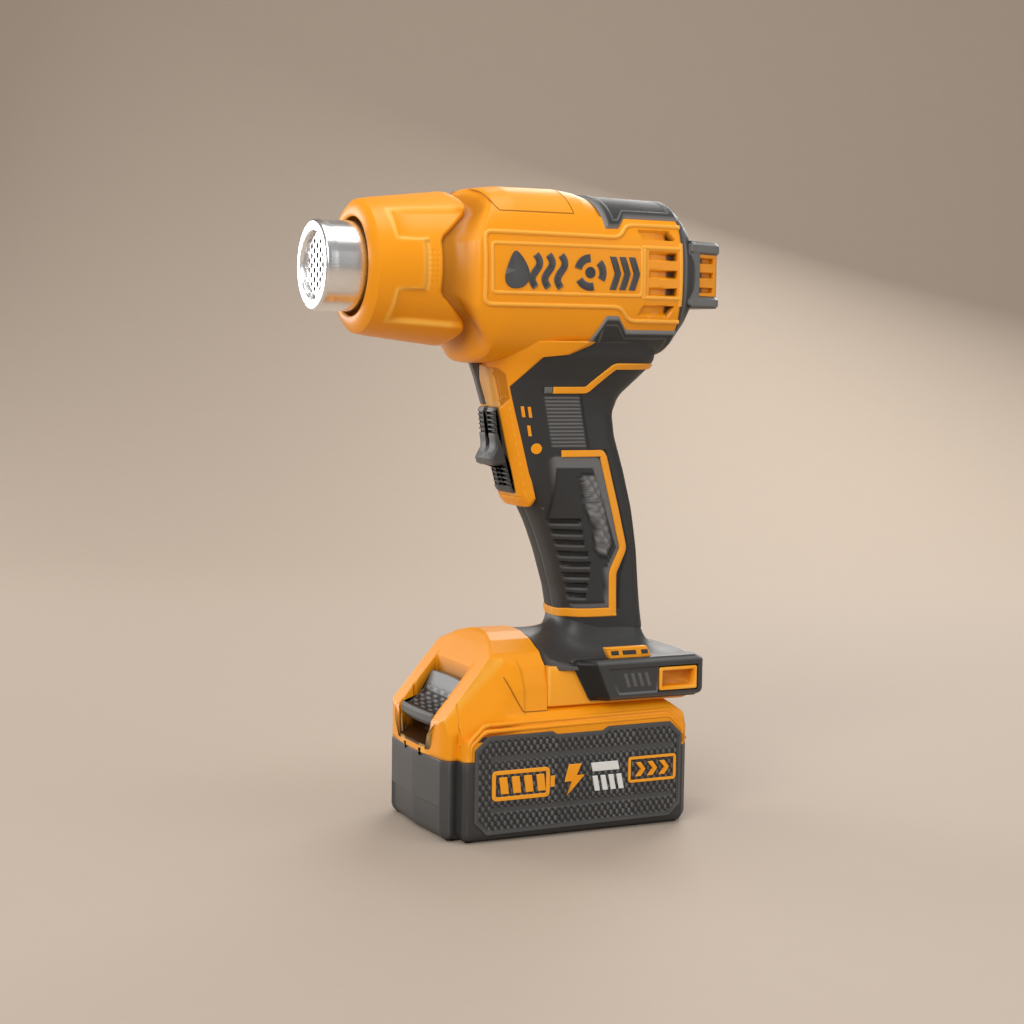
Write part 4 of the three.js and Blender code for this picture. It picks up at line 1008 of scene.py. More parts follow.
def perforated_disc():
    """The outlet's mesh: six-sided cells in a staggered pattern, each with a round hole and its walls."""
    pitch = 4.0
    corner = pitch / np.sqrt(3.0)
    turn = np.linspace(0.0, 2 * np.pi, 12, endpoint=False)
    reach = np.where(np.arange(12) % 2 == 0, corner, pitch / 2)
    outer = np.stack([reach * np.cos(turn), reach * np.sin(turn)], axis=1)
    inner = np.stack([1.35 * np.cos(turn), 1.35 * np.sin(turn)], axis=1)
    shells = []
    for column in range(-4, 5):
        for row in range(-5, 6):
            y = column * corner * 1.5
            z = row * pitch + (pitch / 2 if column % 2 else 0.0)
            if np.hypot(y, z) > 12.4:
                continue
            rings = [(103.9, outer), (104.3, outer), (104.3, outer * 0.5 + inner * 0.5), (104.2, inner),
                     (103.2, inner)]
            points = np.array([np.column_stack([np.full(12, x), ring + (y, z + AXIS_Z)]) for x,
                               ring in rings])
            shells.append(faced(sheet(points, wrap=True), (100.0, y, z + AXIS_Z)))
    rim = [(103.6, 11.4), (103.9, 11.4), (103.9, 13.3), (103.2, 13.3)]
    shells.append(turned(rim, count=64, lids=(False, False)))
    return shells


HANDLE_ROWS = [(71.0, -8.6, -49.0, 17.0), (84.0, -8.3, -48.6, 17.0), (92.0, -7.4, -47.4, 16.8),
               (102.4, -5.4, -46.4, 16.6),
               (118.3, -0.6, -45.1, 17.0), (128.0, 3.0, -43.6, 17.4), (138.0, 7.0, -41.8, 18.0),
               (139.4, 13.2, -41.4, 18.0),
               (143.5, 16.1, -40.4, 18.2), (154.5, 18.7, -37.5, 18.6), (170.0, 22.4, -32.4, 19.0),
               (180.0, 24.7, -31.0, 19.2),
               (187.5, 26.5, -34.0, 19.8), (194.5, 28.2, -42.0, 21.6), (201.0, 29.6, -49.0, 24.6),
               (206.0, 30.4, -51.0, 27.6),
               (212.0, 31.0, -51.0, 30.0)]
HANDLE_POWER = 3.226
NECK_REAR = [(138.0, 12.5), (139.2, 10.6), (143.0, 9.4), (191.5, 22.4), (204.3, 11.2), (205.4, 0.0),
             (209.4, -9.0), (214.0, -16.0)]
CHANNEL = 9.2


def smoothed_rows():
    """The handle's rows read every half millimetre and averaged over 5 mm, the step under the switch
    kept sharp."""
    z = np.arange(60.0, 220.0, 0.5)
    rows = np.array(HANDLE_ROWS)
    columns = [np.interp(z, rows[:, 0], rows[:, k]) for k in (1, 2, 3)]
    kernel = np.ones(9) / 9.0
    soft = [np.convolve(np.pad(column, 4, mode="edge"), kernel, mode="valid") for column in columns]
    keep = (z > 136.0) & (z < 143.0)
    soft[0] = np.where(keep, columns[0], soft[0])
    return z, soft


HANDLE_TABLE = smoothed_rows()


GRIP_FRONT = [(60.0, -8.8), (84.0, -8.3), (92.0, -7.4), (102.4, -5.4), (118.3, -0.6), (128.0, 3.0),
              (133.0, 5.2), (138.0, 7.8),
              (143.0, 11.6), (149.0, 16.0), (154.5, 18.7)]


def handle_section(z, neck=False):
    """Middle, half depth and half width of the handle's rounded section at height z, stepped out for the
    neck."""
    heights, (front, back, half) = HANDLE_TABLE
    fore, aft = np.interp(z, heights, front), np.interp(z, heights, back)
    if not neck:
        places, plain = zip(*GRIP_FRONT)
        fore = np.where(np.asarray(z) < 154.5, np.interp(z, places, plain), fore)
    return (fore + aft) / 2.0, (fore - aft) / 2.0, np.interp(z, heights, half)


def handle_side(x, z):
    """y of the handle's left side at (x, z)."""
    middle, depth, half = handle_section(z)
    rest = 1.0 - np.clip(np.abs((x - middle) / depth), 0.0, 0.999) ** HANDLE_POWER
    return half * rest ** (1.0 / HANDLE_POWER)


def handle_point(angle, z, lift=0.0, neck=False):
    """The handle's skin at an angle from its front, pushed outwards by lift."""
    middle, depth, half = handle_section(z, neck)
    power = 2.0 / HANDLE_POWER
    x = middle + (depth + lift) * squared(np.cos(angle), power)
    y = (half + lift) * squared(np.sin(angle), power)
    return np.stack([x, y, z + 0.0 * x], axis=-1)


def angle_at_x(x, z, neck=False):
    """The handle angle whose skin lies at that x."""
    middle, depth, _ = handle_section(z, neck)
    share = np.clip((x - middle) / depth, -0.999, 0.999)
    return np.arccos(squared(share, HANDLE_POWER / 2))


def neck_rear_angle(z, neck=True):
    """Angle of the line between the orange neck and the dark grip."""
    heights, places = zip(*NECK_REAR)
    return angle_at_x(np.interp(z, heights, places), z, neck)


STRIPE_UPPER = [(4.4, 190.2), (-11.6, 190.3), (-23.6, 200.7), (-49.5, 200.9)]
STRIPE_LOWER = [(-1.0, 162.7), (-21.4, 162.7), (-33.4, 120.5), (-28.3, 110.0), (-28.6, 92.6)]
PAD = [(1.1, 156.6), (-16.5, 156.3), (-29.6, 121.0), (-24.4, 110.5), (-25.0, 96.4), (-3.0, 96.4),
       (3.4, 118.0)]
PATCH = [(-11.2, 153.3), (-18.6, 153.2), (-27.2, 123.0), (-23.6, 116.0), (-19.2, 120.6), (-18.4, 130.0),
         (-13.4, 139.0)]
BARS = [((10.3, 133.3), (-11.5, 132.9)), ((8.8, 128.6), (-12.6, 128.1)), ((7.4, 124.0), (-13.6, 123.4)),
        ((5.8, 118.9), (-15.6, 118.4)),
        ((4.4, 114.2), (-17.0, 113.7)), ((2.6, 109.4), (-16.8, 108.9)), ((1.0, 104.9), (-16.2, 104.3)),
        ((-0.8, 100.4), (-15.6, 99.9))]


def grip_relief(x, z):
    """Height, painted highlight and painted shade of the grip's moulded pattern at (x, z).

    Fine ribs are a cosine in z, the diamond patch is |sin a| |sin b| of two slanting phases, bars are
    pressed in."""
    height = np.zeros_like(x)
    pale = np.zeros_like(x)
    deep = np.zeros_like(x)
    ribs = [(8.0, 187.4), (-8.6, 187.2), (-12.9, 165.4), (3.4, 165.6)]
    band = eased(0.5, -0.5, inside(x, z, ribs))
    wave = 0.5 + 0.5 * np.cos(2 * np.pi * (z - 166.0) / 1.6)
    height += band * 0.4 * (wave - 0.3)
    # Painted highlight on the crests of the fine ribs.
    pale = np.maximum(pale, band * 0.6 * wave)
    pad = inside(x, z, PAD)
    height += 0.45 * eased(0.6, -0.6, pad)
    # Painted shade line round the pad's edge.
    deep = np.maximum(deep, 0.95 * bell(pad - 0.1, 0.7))
    # Painted highlight along the pad's rear rim.
    rim_band = eased(-0.4, 0.4, pad) * eased(5.4, 4.4, pad) * eased(-4.0, -9.0, x - 0.2 * (z - 110.0))
    pale = np.maximum(pale, 0.5 * rim_band * eased(92.0, 97.0, z))
    patch = inside(x, z, PATCH)
    within = eased(0.2, -1.2, patch)
    a = np.abs(np.sin(np.pi * (0.82 * (z - 0.27 * x) + 1.05 * x) / 4.2))
    b = np.abs(np.sin(np.pi * (0.82 * (z - 0.27 * x) - 1.05 * x) / 4.2))
    lozenge = a * b
    height += within * (0.55 * lozenge - 0.05)
    # Painted highlight on the lozenges' crests, and a painted shade line round the patch.
    pale = np.maximum(pale, within * (0.3 + 0.6 * lozenge))
    deep = np.maximum(deep, 0.9 * bell(patch - 0.6, 0.55))
    for (ax, az), (bx, bz) in BARS:
        level = az + (x - ax) * (bz - az) / (bx - ax)
        bar = eased(1.25, 0.85, np.abs(z - level)) * eased(0.5, -0.3, np.maximum(bx - x, x - ax))
        height -= 1.1 * bar
        # Painted shade inside the pressed bars.
        deep = np.maximum(deep, 0.75 * bar)
        # Painted highlight on the wall below each bar.
        under = bell(z - level + 1.5, 0.45) * eased(0.5, -0.3, np.maximum(bx - x, x - ax))
        pale = np.maximum(pale, 0.35 * under)
    # Painted shade lines along the edges of the rib band and the stripe, and in the groove by the stripe's
    # outer edge.
    seam = line_distance(x, z, [(-9.6, 187.4), (-14.4, 163.9), (-20.4, 163.9), (-31.8, 121.0),
                                (-26.6, 109.6), (-26.8, 95.4)])
    deep = np.maximum(deep, 0.8 * bell(seam, 0.6))
    outer = line_distance(x, z, [(-23.2, 163.6), (-36.2, 120.0), (-31.6, 108.6), (-31.4, 94.0)])
    deep = np.maximum(deep, 0.95 * bell(outer, 0.8))
    height -= 0.35 * bell(outer, 0.6)
    return height, np.clip(pale, 0, 1), np.clip(deep, 0, 1)


def grip_shell():
    """Left half of the rubber grip: the handle's section carried upwards, open at the neck, with its
    relief."""
    z = np.concatenate([np.arange(84.0, 138.4, 0.42), np.arange(138.6, 211.6, 0.46)])[:, None]
    columns = 136
    v = np.linspace(0.0, 1.0, columns)[None, :]
    start = np.where(z < 138.5, 0.0, np.maximum(neck_rear_angle(z, False) - 0.05, 0.0))
    angle = start + v * (np.pi - start)
    bare = handle_point(angle, z)
    height, pale, deep = grip_relief(bare[..., 0], bare[..., 2])
    side = eased(0.55, 0.75, angle) * eased(np.pi - 0.1, np.pi - 0.4, angle)
    crease = 0.5 * bell(angle - 2.42, 0.035) * eased(96.0, 104.0, z) * eased(186.0, 178.0, z)
    lift = height * side - crease
    under_chin = eased(203.0, 209.0, z) * 1.2
    points = handle_point(angle, z, lift - under_chin)
    # Painted highlight and painted shade of the relief, with painted shade in the crease as well.
    return faced(sheet(points, pale=pale * side, deep=np.clip(deep * side + crease, 0, 1)),
                 (-14.0, 0.0, 150.0))


def neck_shell():
    """Left half of the orange neck: the handle's skin from the grip's edge to the switch channel, 0.4 mm
    proud."""
    z = np.concatenate([np.linspace(138.3, 143.6, 18), np.linspace(143.8, 211.0, 170)])[:, None]
    v = np.linspace(0.0, 1.0, 56)[None, :]
    rear = neck_rear_angle(z)
    _, _, half = handle_section(z, True)
    power = HANDLE_POWER / 2.0
    mouth = np.arcsin(np.clip((np.where(z > 199.6, 3.1, CHANNEL) / half) ** power, 0.0, 1.0))
    fore = np.where(z < 143.7, 0.0, mouth)
    angle = rear + v * (fore - rear)
    bare = handle_point(angle, z, 0.0, True)
    x, y = bare[..., 0], bare[..., 1]
    near = np.minimum(np.abs(x - x[:, :1]) + np.abs(y - y[:, :1]), z - 138.3)
    lift = 0.8 * eased(0.0, 1.0, near) - 0.4
    panel = [(37.0, 199.4), (27.6, 199.4), (24.6, 196.4), (22.2, 186.4), (24.4, 182.4), (37.0, 182.4)]
    gap = inside(x, z, panel)
    lift -= 0.9 * eased(0.5, -0.5, gap)
    lift += 0.55 * bell(gap + 2.1, 0.5) * eased(0.5, -0.5, gap)
    # Painted shade in the recessed panel.
    shade = 0.45 * eased(0.5, -0.5, gap)
    points = handle_point(angle, z, lift, True)
    return faced(sheet(points, deep=shade), (-5.0, 0.0, 175.0))


def lower_band():
    """The orange band round the foot of the grip: the handle's section with a low flat bump, left half."""
    angle = np.linspace(0.0, 2.0, 90)[None, :]
    rise = np.array([(90.3, -0.6), (90.35, 0.2), (90.7, 0.55), (93.8, 0.55), (94.15, 0.2), (94.2, -0.6)])
    end = angle_at_x(-30.2, 92.0)
    angle = angle / 2.0 * end
    z = np.repeat(rise[:, :1], 90, axis=1) - 0.8 * eased(0.6, 0.0, angle)
    angle = np.repeat(angle, 6, axis=0)
    points = handle_point(angle, z, rise[:, 1:])
    return volume_out(sheet(points.transpose(1, 0, 2), wrap=True, lids=(True, True)))


def neck_local(out, up):
    """x and z of a place given out of the switch track and up along it."""
    lean = np.radians(13.28)
    out, up = np.asarray(out, float), np.asarray(up, float)
    return 20.5 + out * np.cos(lean) + up * np.sin(lean), 142.0 - out * np.sin(lean) + up * np.cos(lean)


def neck_sill():
    """The floor of the neck under the switch: the neck's section as a plate, edges eased."""
    end = float(angle_at_x(10.9, 138.8, True))
    angle = np.linspace(-end, end, 60)
    heights = [(138.35, 1.0), (138.8, 0.45), (139.8, 0.45)]
    rings = [handle_point(angle, np.full(60, z), 0.45 - inset, True) for z, inset in heights]
    return volume_out(sheet(np.array(rings), wrap=True, lids=(True, True)))


def switch_track():
    """The floor that the switch slides over: a strip set back from the neck's front, between the
    channel's sides."""
    outline = [neck_local(out, up) for out, up in ((-6.6, -1.4), (-5.6, -1.4), (-5.6, 59.0), (-6.6, 59.0))]
    # Painted shade on the set-back floor of the channel.
    return slab(np.array(outline), [(-9.9, 0.0), (9.9, 0.0)], axis="y", deep=0.3)


def slider_sides():
    """Side outlines of the slide switch: its two cheeks with grooves and tab, and its middle, lower
    above the tab."""
    lower = [(-5.2, 2.0), (-4.8, 2.0), (-4.0, 2.8), (-3.4, 4.4)]
    for k in range(5):
        lower += [(-3.4, 5.4 + 2 * k), (-4.4, 5.7 + 2 * k), (-4.4, 6.5 + 2 * k), (-3.4, 6.8 + 2 * k)]
    lower += [(-3.3, 15.2), (1.6, 15.9), (2.9, 16.9), (3.1, 19.4), (1.6, 21.2)]
    side = lower + [(-0.4, 23.4), (-1.0, 26.0), (-1.1, 28.6)]
    for k in range(5):
        out = -1.6 - 0.24 * k
        side += [(out + 0.3, 29.5 + 2 * k), (out - 0.9, 29.8 + 2 * k), (out - 0.9, 30.6 + 2 * k),
                 (out + 0.1, 30.9 + 2 * k)]
    side += [(-2.7, 39.4), (-3.4, 40.4), (-5.2, 40.4)]
    return side, lower + [(-0.6, 23.6), (-3.9, 25.2), (-4.1, 40.2), (-5.2, 40.2)]


def foot_skirt():
    """The shell's skirt between foot and pack: a plan outline carried from the deck up under the foot."""
    outline = rounded([(11.3, 34.4), (-56.0, 34.4), (-59.6, 31.0), (-59.6, -31.0), (-56.0, -34.4),
                       (11.3, -34.4)], 1.5)
    return slab(outline, [(55.3, 0.5), (55.8, 0.0), (70.4, 0.0), (72.6, 0.7)], axis="z")


def slider_shells(outline, levels):
    """Part of the slide switch: an outline given in the track's own directions, carried across."""
    x, z = neck_local(*np.array(outline).T)
    ring = np.stack([x, z], axis=1)
    return slab(ring, levels, axis="y")


def foot_shell():
    """The foot: rings spread from the handle's section out to the foot's rim, then straight down to the
    skirt.

    A ring is handle + f(t) (rim - handle); its height falls fast near the handle and slowly near the rim."""
    count = 240
    turn = np.linspace(0.0, 2 * np.pi, count, endpoint=False)
    top = handle_point(turn, np.full(count, 91.6), -0.35)
    power = 2.0 / 7.0
    rim_x = -24.9 + 36.4 * squared(np.cos(turn), power)
    rim_y = 36.4 * squared(np.sin(turn), power)
    arch = 84.6 - 12.4 * (np.abs(rim_y) / 36.5) ** 2.3
    low = 75.0 - 2.4 * (np.abs(rim_y) / 36.5) ** 3
    ahead = eased(-30.0, 8.0, rim_x)
    rim_z = low * (1 - ahead) + arch * ahead
    t = np.linspace(0.0, 1.0, 60)[:, None]
    spread = 1.0 - (1.0 - t ** 1.9) ** 0.92
    fall = 1.0 - (1.0 - t) ** 2.4
    x = top[:, 0] + spread * (rim_x - top[:, 0])
    y = top[:, 1] + spread * (rim_y - top[:, 1])
    z = top[:, 2] + fall * (rim_z - top[:, 2])
    crease = 0.45 * bell(np.abs(y) - 31.0, 0.6) * eased(0.6, 0.75, t)
    z = z - crease
    # Painted highlight along the shoulder's edge and on its outer band.
    pale = (0.3 * bell(np.abs(y) - 32.2, 0.7) * eased(0.6, 0.75, t)
            + 0.2 * eased(31.5, 33.0, np.abs(y)) * eased(0.7, 0.8, t))
    floor = np.where(rim_x < -20.0, 58.0, 70.8)
    xs, ys, zs, shade = [x], [y], [z], [pale]
    for share in (0.15, 0.5, 1.0):
        xs.append(rim_x[None])
        ys.append(rim_y[None])
        zs.append((rim_z + share * (floor - rim_z))[None])
        # The walls down to the skirt are painted evenly a little paler.
        shade.append(np.full((1, count), 0.25))
    points = np.stack([np.vstack(xs), np.vstack(ys), np.vstack(zs)], axis=-1)
    return faced(sheet(points, wrap=True, pale=np.vstack(shade)), (-25.0, 0.0, 60.0))


def bumper_shell():
    """The side bumper: a grid over its face, pulled in to its slanting front and rounded ends.

    Its face is flat; the slanting front falls back towards the foot, the panel is pressed in, the socket
    deep."""
    rows, columns = 62, 190
    v = np.linspace(0.0, 1.0, rows)[:, None]
    u = np.linspace(0.0, 1.0, columns)[None, :]
    z = 57.0 + v * 18.0 + 0.0 * u
    front = along(z, (57.0, -8.3), (58.0, -7.6), (72.5, 0.2), (74.2, 0.6), (75.0, -1.4))
    back = along(z, (57.0, -60.2), (58.2, -61.8), (60.0, -62.4), (72.8, -62.4), (74.2, -61.6), (75.0, -60.0))
    x = front + u * (back - front)
    edge_x = along(z, (57.8, -16.4), (72.1, -10.2), (74.0, -9.6), (75.0, -9.6))
    slope = 5.2 * eased(edge_x + 0.2, front + 0.4, x) ** 0.9
    rim = np.minimum(z - 57.0, 75.0 - z)
    rolled = 2.2 * (1.0 - eased(0.0, 2.3, rim)) ** 1.6 + 2.0 * (1.0 - eased(0.0, 2.2, x - back)) ** 1.6
    panel = inside(x, z, [(-14.4, 70.9), (-38.4, 70.9), (-38.4, 60.1), (-20.0, 60.1)])
    pressed = 0.55 * eased(0.35, -0.35, panel)
    ribs = np.zeros_like(x)
    for k in range(4):
        slant = [(-22.0 - 3.4 * k, 68.6), (-23.6 - 3.4 * k, 68.6), (-25.6 - 3.4 * k, 62.6),
                 (-24.0 - 3.4 * k, 62.6)]
        ribs = np.maximum(ribs, eased(0.3, -0.3, inside(x, z, slant)))
    socket = inside(x, z, [(-39.2, 70.8), (-59.0, 70.8), (-59.0, 60.0), (-39.2, 60.0)])
    hollow = 5.0 * eased(0.25, -0.25, socket)
    y = 40.85 - slope - rolled - pressed + 0.4 * ribs - hollow
    y = np.maximum(y, 35.5)
    # Painted shade on the slanting front and in the socket's hollow.
    dark = np.clip(0.9 * eased(edge_x + 0.3, edge_x + 1.0, x) + 0.7 * eased(0.0, -0.4, socket), 0, 1)
    # Painted highlight along the panel's lower edge, the rolled rim and the ribs.
    pale = 0.5 * bell(panel - 0.1, 0.35) * eased(66.0, 60.0, z) + 0.3 * bell(rim - 1.2, 0.6) * (x < edge_x)
    pale = np.clip(pale + 0.55 * ribs * 0.6, 0, 1) * (dark < 0.2)
    grid = np.stack([x, y, z], axis=-1)
    flat = grid[:, ::-6].copy()
    flat[..., 1] = 31.0
    blank = np.zeros(flat.shape[:2])
    rings = np.concatenate([grid, flat], axis=1)
    return volume_out(sheet(rings, wrap=True, lids=(True, True), deep=np.hstack([dark, blank]),
                            pale=np.hstack([pale, blank])))


def socket_cup():
    """The orange insert of the bumper: a rounded frame round a hollow that steps down to a sloping floor."""
    rings = []
    for y, inset in ((36.0, 0.0), (40.7, 0.0), (41.0, 0.3), (41.0, 1.2), (40.6, 1.5), (36.8, 1.9),
                     (36.4, 2.6)):
        corners = [(-39.7 - inset, 70.4 - inset), (-58.5 + inset, 70.4 - inset),
                   (-58.5 + inset, 60.3 + inset),
                   (-39.7 - inset, 60.3 + inset)]
        ring = rounded(corners, max(0.9 - inset, 0.3))
        rings.append(np.stack([ring[:, 0], np.full(len(ring), y), ring[:, 1]], axis=1))
    cup = volume_out(sheet(np.array(rings), wrap=True, lids=(True, True)))
    # Painted shade, darker deeper into the hollow.
    cup["tints"]["deep"] = np.clip((40.6 - cup["points"][:, 1]) / 4.0, 0, 1) * 0.45
    return cup


def window_insert():
    """The small orange window on the foot's shoulder: a slanted plate with three slots."""
    outline = rounded([(-15.0, 79.6), (-35.6, 79.6), (-38.2, 74.6), (-17.4, 74.6)], 0.6)
    plate = slab(outline, [(33.6, 0.0), (35.9, 0.0), (36.3, 0.4)], axis="y")
    # The three slots are flat near-black plates laid on the window's face: painted shade standing for
    # openings.
    slot_shades = [slab(rounded([(a, 78.2), (a - w, 78.2), (a - w - 0.5, 76.2), (a - 0.5, 76.2)], 0.3),
                  [(35.8, 0.0), (36.36, 0.05)],
                  axis="y") for a, w in ((-17.6, 3.8), (-23.2, 6.8), (-32.4, 3.4))]
    return plate, slot_shades


def pack_half(x):
    """Half width of the pack at x: full at the sides, cut at the rear corners, stepped in behind the
    front face."""
    return along(x, (-57.3, 34.0), (-54.0, 37.4), (49.8, 37.4), (51.2, 35.8), (51.6, 31.4), (54.6, 31.4),
                 (56.2, 30.6), (58.0, 26.5),
                 (59.3, 12.0), (59.6, 8.0))


def pack_top(x, y):
    """Height of the pack's top: the lower of a side profile along X and a domed section across it."""
    away = np.abs(y)
    profile = along(x, (-57.3, 41.0), (-54.3, 49.3), (-47.0, 55.0), (11.2, 55.0), (11.7, 70.0), (12.2, 85.2),
                    (28.0, 85.2), (29.6, 84.4),
                    (33.0, 80.6), (58.4, 50.2), (59.4, 46.4), (59.6, 45.0))
    dome = along(away, (0.0, 85.2), (8.0, 84.8), (17.0, 82.6), (26.5, 78.2), (31.9, 72.3), (33.8, 67.0),
                 (34.3, 53.5), (36.4, 50.6),
                 (37.4, 47.5))
    front = (along(x, (12.0, 0.0), (22.7, 0.0), (28.0, 3.0), (46.0, 20.0), (60.0, 32.0))
             * eased(26.5, 29.0, away))
    slope_side = along(away, (0.0, 90.0), (24.0, 88.0), (28.0, 84.0), (33.4, 66.0), (37.4, 46.0)) - front
    deck = along(away, (0.0, 55.0), (31.5, 55.0), (34.5, 53.4), (36.4, 50.6), (37.4, 47.5))
    dome = np.where(x < 11.5, deck, dome)
    return np.maximum(np.minimum(np.minimum(profile, dome), np.where(x > 12.0, slope_side, 90.0)), 43.0)


def pack_upper():
    """The pack's orange case: a cloth of points laid over it, whose hem drops down the four sides.

    Rows run along X and columns across Y; the outer columns and rows slide down the walls to the parting
    line."""
    xs = np.concatenate([np.full(3, -57.3), np.linspace(-57.3, 11.2, 66), np.linspace(11.25, 12.3, 8),
                         np.linspace(12.6, 59.6, 128),
                         np.full(12, 59.6)])[:, None]
    drop_x = np.concatenate([np.array([1.0, 0.6, 0.2]), np.zeros(202), np.linspace(0.08, 1.0, 12)])[:, None]
    v = np.concatenate([np.full(9, -1.0), np.linspace(-1.0, 1.0, 160), np.full(9, 1.0)])[None, :]
    drop_y = np.concatenate([np.linspace(1.0, 0.1, 9), np.zeros(160), np.linspace(0.1, 1.0, 9)])[None, :]
    bend = squared(v, 0.82)
    x = xs + 0.0 * v
    y = bend * pack_half(x)
    z = pack_top(x, y)
    away = np.abs(y)
    pocket = eased(18.2, 17.7, away) * eased(40.4, 40.9, x + 0.0 * y)
    bottom = along(x, (40.0, 58.0), (43.0, 51.0), (51.0, 41.0), (59.6, 38.5))
    z = z - pocket * np.maximum(z - bottom, 0.0)
    rim = np.abs(away - 18.7) / 0.6
    z += 0.4 * np.exp(-rim ** 2) * eased(38.6, 40.0, x) * eased(58.8, 57.5, x) * (away < 22)
    step = np.abs(x - (24.4 + (away - 28.0) * -0.35))
    crease = 0.5 * bell(step, 0.5) * eased(28.5, 31.0, away) * eased(52.0, 54.0, z)
    z -= crease
    drop = np.maximum(drop_x, drop_y)
    z = z * (1 - drop) + PARTING_Z * drop
    # Painted highlight along the crest where the front slope meets the side; painted shade in the pocket and
    # in the crease.
    pale = 0.35 * bell(away - 28.6, 0.6) * (x > 30.0) * (drop < 0.01)
    deep = np.maximum(eased(0.25, 0.5, pocket) * (drop < 0.3), 0.55 * crease)
    points = np.stack([x, y, z], axis=-1)
    return faced(sheet(points, pale=pale, deep=np.clip(deep, 0, 1)), (0.0, 0.0, 45.0))


def pack_outline():
    """Plan of the pack, both sides."""
    right = [(-57.3, 34.0), (-54.0, 37.4), (49.8, 37.4), (51.3, 35.6), (51.5, 31.2), (55.4, 31.2),
             (58.0, 27.0), (59.6, 0.0)]
    return np.array(right + [(x, -y) for x, y in right[:-1]][::-1])


def pack_lower():
    """The graphite tray: the pack's plan carried upwards, chamfered below, pressed in on the front."""
    ring = finer(pack_outline(), 1.2, closed=True)
    levels = [(0.0, 4.6), (0.05, 3.6), (1.2, 1.6), (2.6, 0.55), (4.4, 0.0), (14.2, 0.0), (14.6, 0.0),
              (30.0, 0.0), (34.1, 0.0), (34.5, 0.35)]
    shell = slab(ring, levels, axis="z")
    x, y, z = shell["points"].T
    front = eased(54.0, 57.0, x) * eased(26.0, 25.0, np.abs(y)) * eased(14.5, 14.3, z)
    shell["points"][:, 0] -= 0.9 * front
    # Painted highlight on the top rim, a little paler towards the front; painted shade in the step at the
    # front corners.
    shell["tints"]["pale"] = 0.10 * eased(52.0, 56.0, x) + 0.25 * (z > 34.2)
    shell["tints"]["deep"] = (0.7 * eased(1.2, 0.6, np.abs(x - 53.2))
                              * eased(30.0, 30.8, np.abs(y)) * (z > 2.0))
    return shell


PANEL_OUTLINE = [(46.0, 9.2), (40.8, 4.0), (-47.0, 4.6), (-52.2, 9.2), (-52.2, 40.0), (-47.0, 45.0),
                 (-16.6, 45.0), (-14.2, 43.4),
                 (8.5, 43.4), (10.5, 44.8), (40.0, 44.6), (46.0, 39.4)]


def panel_side(x, z):
    """y of the side panel's face."""
    return PANEL_FACE + 0.0 * x


def panel_shell():
    """The side panel: a grid with woven relief, rounded off at its outline.

    The weave is rows of rhombs 1 - 2|a| - 0.9|b|, every other row moved half a step; flat strips cross it.
    One half of each rhomb is painted paler as its lit facet and the other half darker as its shaded facet."""
    x = np.linspace(46.0, -52.2, 200)[None, :]
    z = np.linspace(4.0, 45.0, 112)[:, None]
    x, z = x + 0.0 * z, z + 0.0 * x
    edge = inside(x, z, PANEL_OUTLINE)
    row = np.floor(z / 2.25)
    across = (x / 3.0 + 0.5 * (row % 2)) % 1.0
    up = (z / 2.25) % 1.0
    rhomb = np.clip(1.0 - np.abs(across - 0.5) * 2.0 - np.abs(up - 0.5) * 0.9, 0.0, 1.0)
    strip = (np.maximum(eased(1.5, 1.1, np.abs(z - 35.6)), eased(1.4, 1.0, np.abs(z - 13.6)))
             * eased(49.0, 48.0, -x) * eased(39.6, 38.8, x))
    border = eased(-1.5, -1.1, edge)
    weave = (1.0 - strip) * (1.0 - border)
    height = 0.42 * rhomb * weave - 0.1 * weave
    trench = 0.5 * bell(np.abs(z - 35.6) - 1.6, 0.25)
    y = 37.9 + height - 0.25 * strip - trench * 0.2 + 0.12 * border
    out = eased(0.15, -0.9, edge)
    y = np.where(edge > 0.15, 36.4, 36.4 + (y - 36.4) * out ** 0.6)
    # Painted light: the lit half of each rhomb paler and the shaded half darker, and a painted shade line
    # inside the border; the flat strips and the border are a little paler.
    pale = np.clip(0.5 * rhomb * weave * (across < 0.5) * 1.6 + 0.10 * strip + 0.22 * border, 0, 1)
    deep = np.clip(0.75 * weave * (1.0 - rhomb) * (across >= 0.5) + 0.5 * bell(edge + 1.3, 0.3), 0, 1)
    return faced(sheet(np.stack([x, y, z], axis=-1), pale=pale, deep=deep), (0.0, 0.0, 24.0))


def panel_ribbon(path, y, half_width, height):
    """A flat strip that follows a closed (x, z) path on the panel at that y."""
    normals = np.tile([0.0, 1.0, 0.0], (len(path), 1))
    points = np.stack([path[:, 0], np.full(len(path), y), path[:, 1]], axis=1)
    return ribbon(points, normals, scaled(FLAT_STRIP, half_width, height), True)


def panel_rim():
    """The graphite frame round the panel: a raised strip along the outline."""
    return panel_ribbon(finer(PANEL_OUTLINE, 1.5, closed=True), 37.55, 0.75, 0.65)


def pack_side(x, z):
    """y of the pack's left flank above the deck."""
    return along(z, (50.6, 36.4), (53.5, 34.35), (67.0, 33.85), (72.3, 31.95)) + 0.0 * x


def flank_seams():
    """Fine parting lines on the flank beside the dome."""
    return [[(31.9, 69.4), (23.2, 54.6), (22.0, 54.0), (11.6, 54.0)]]


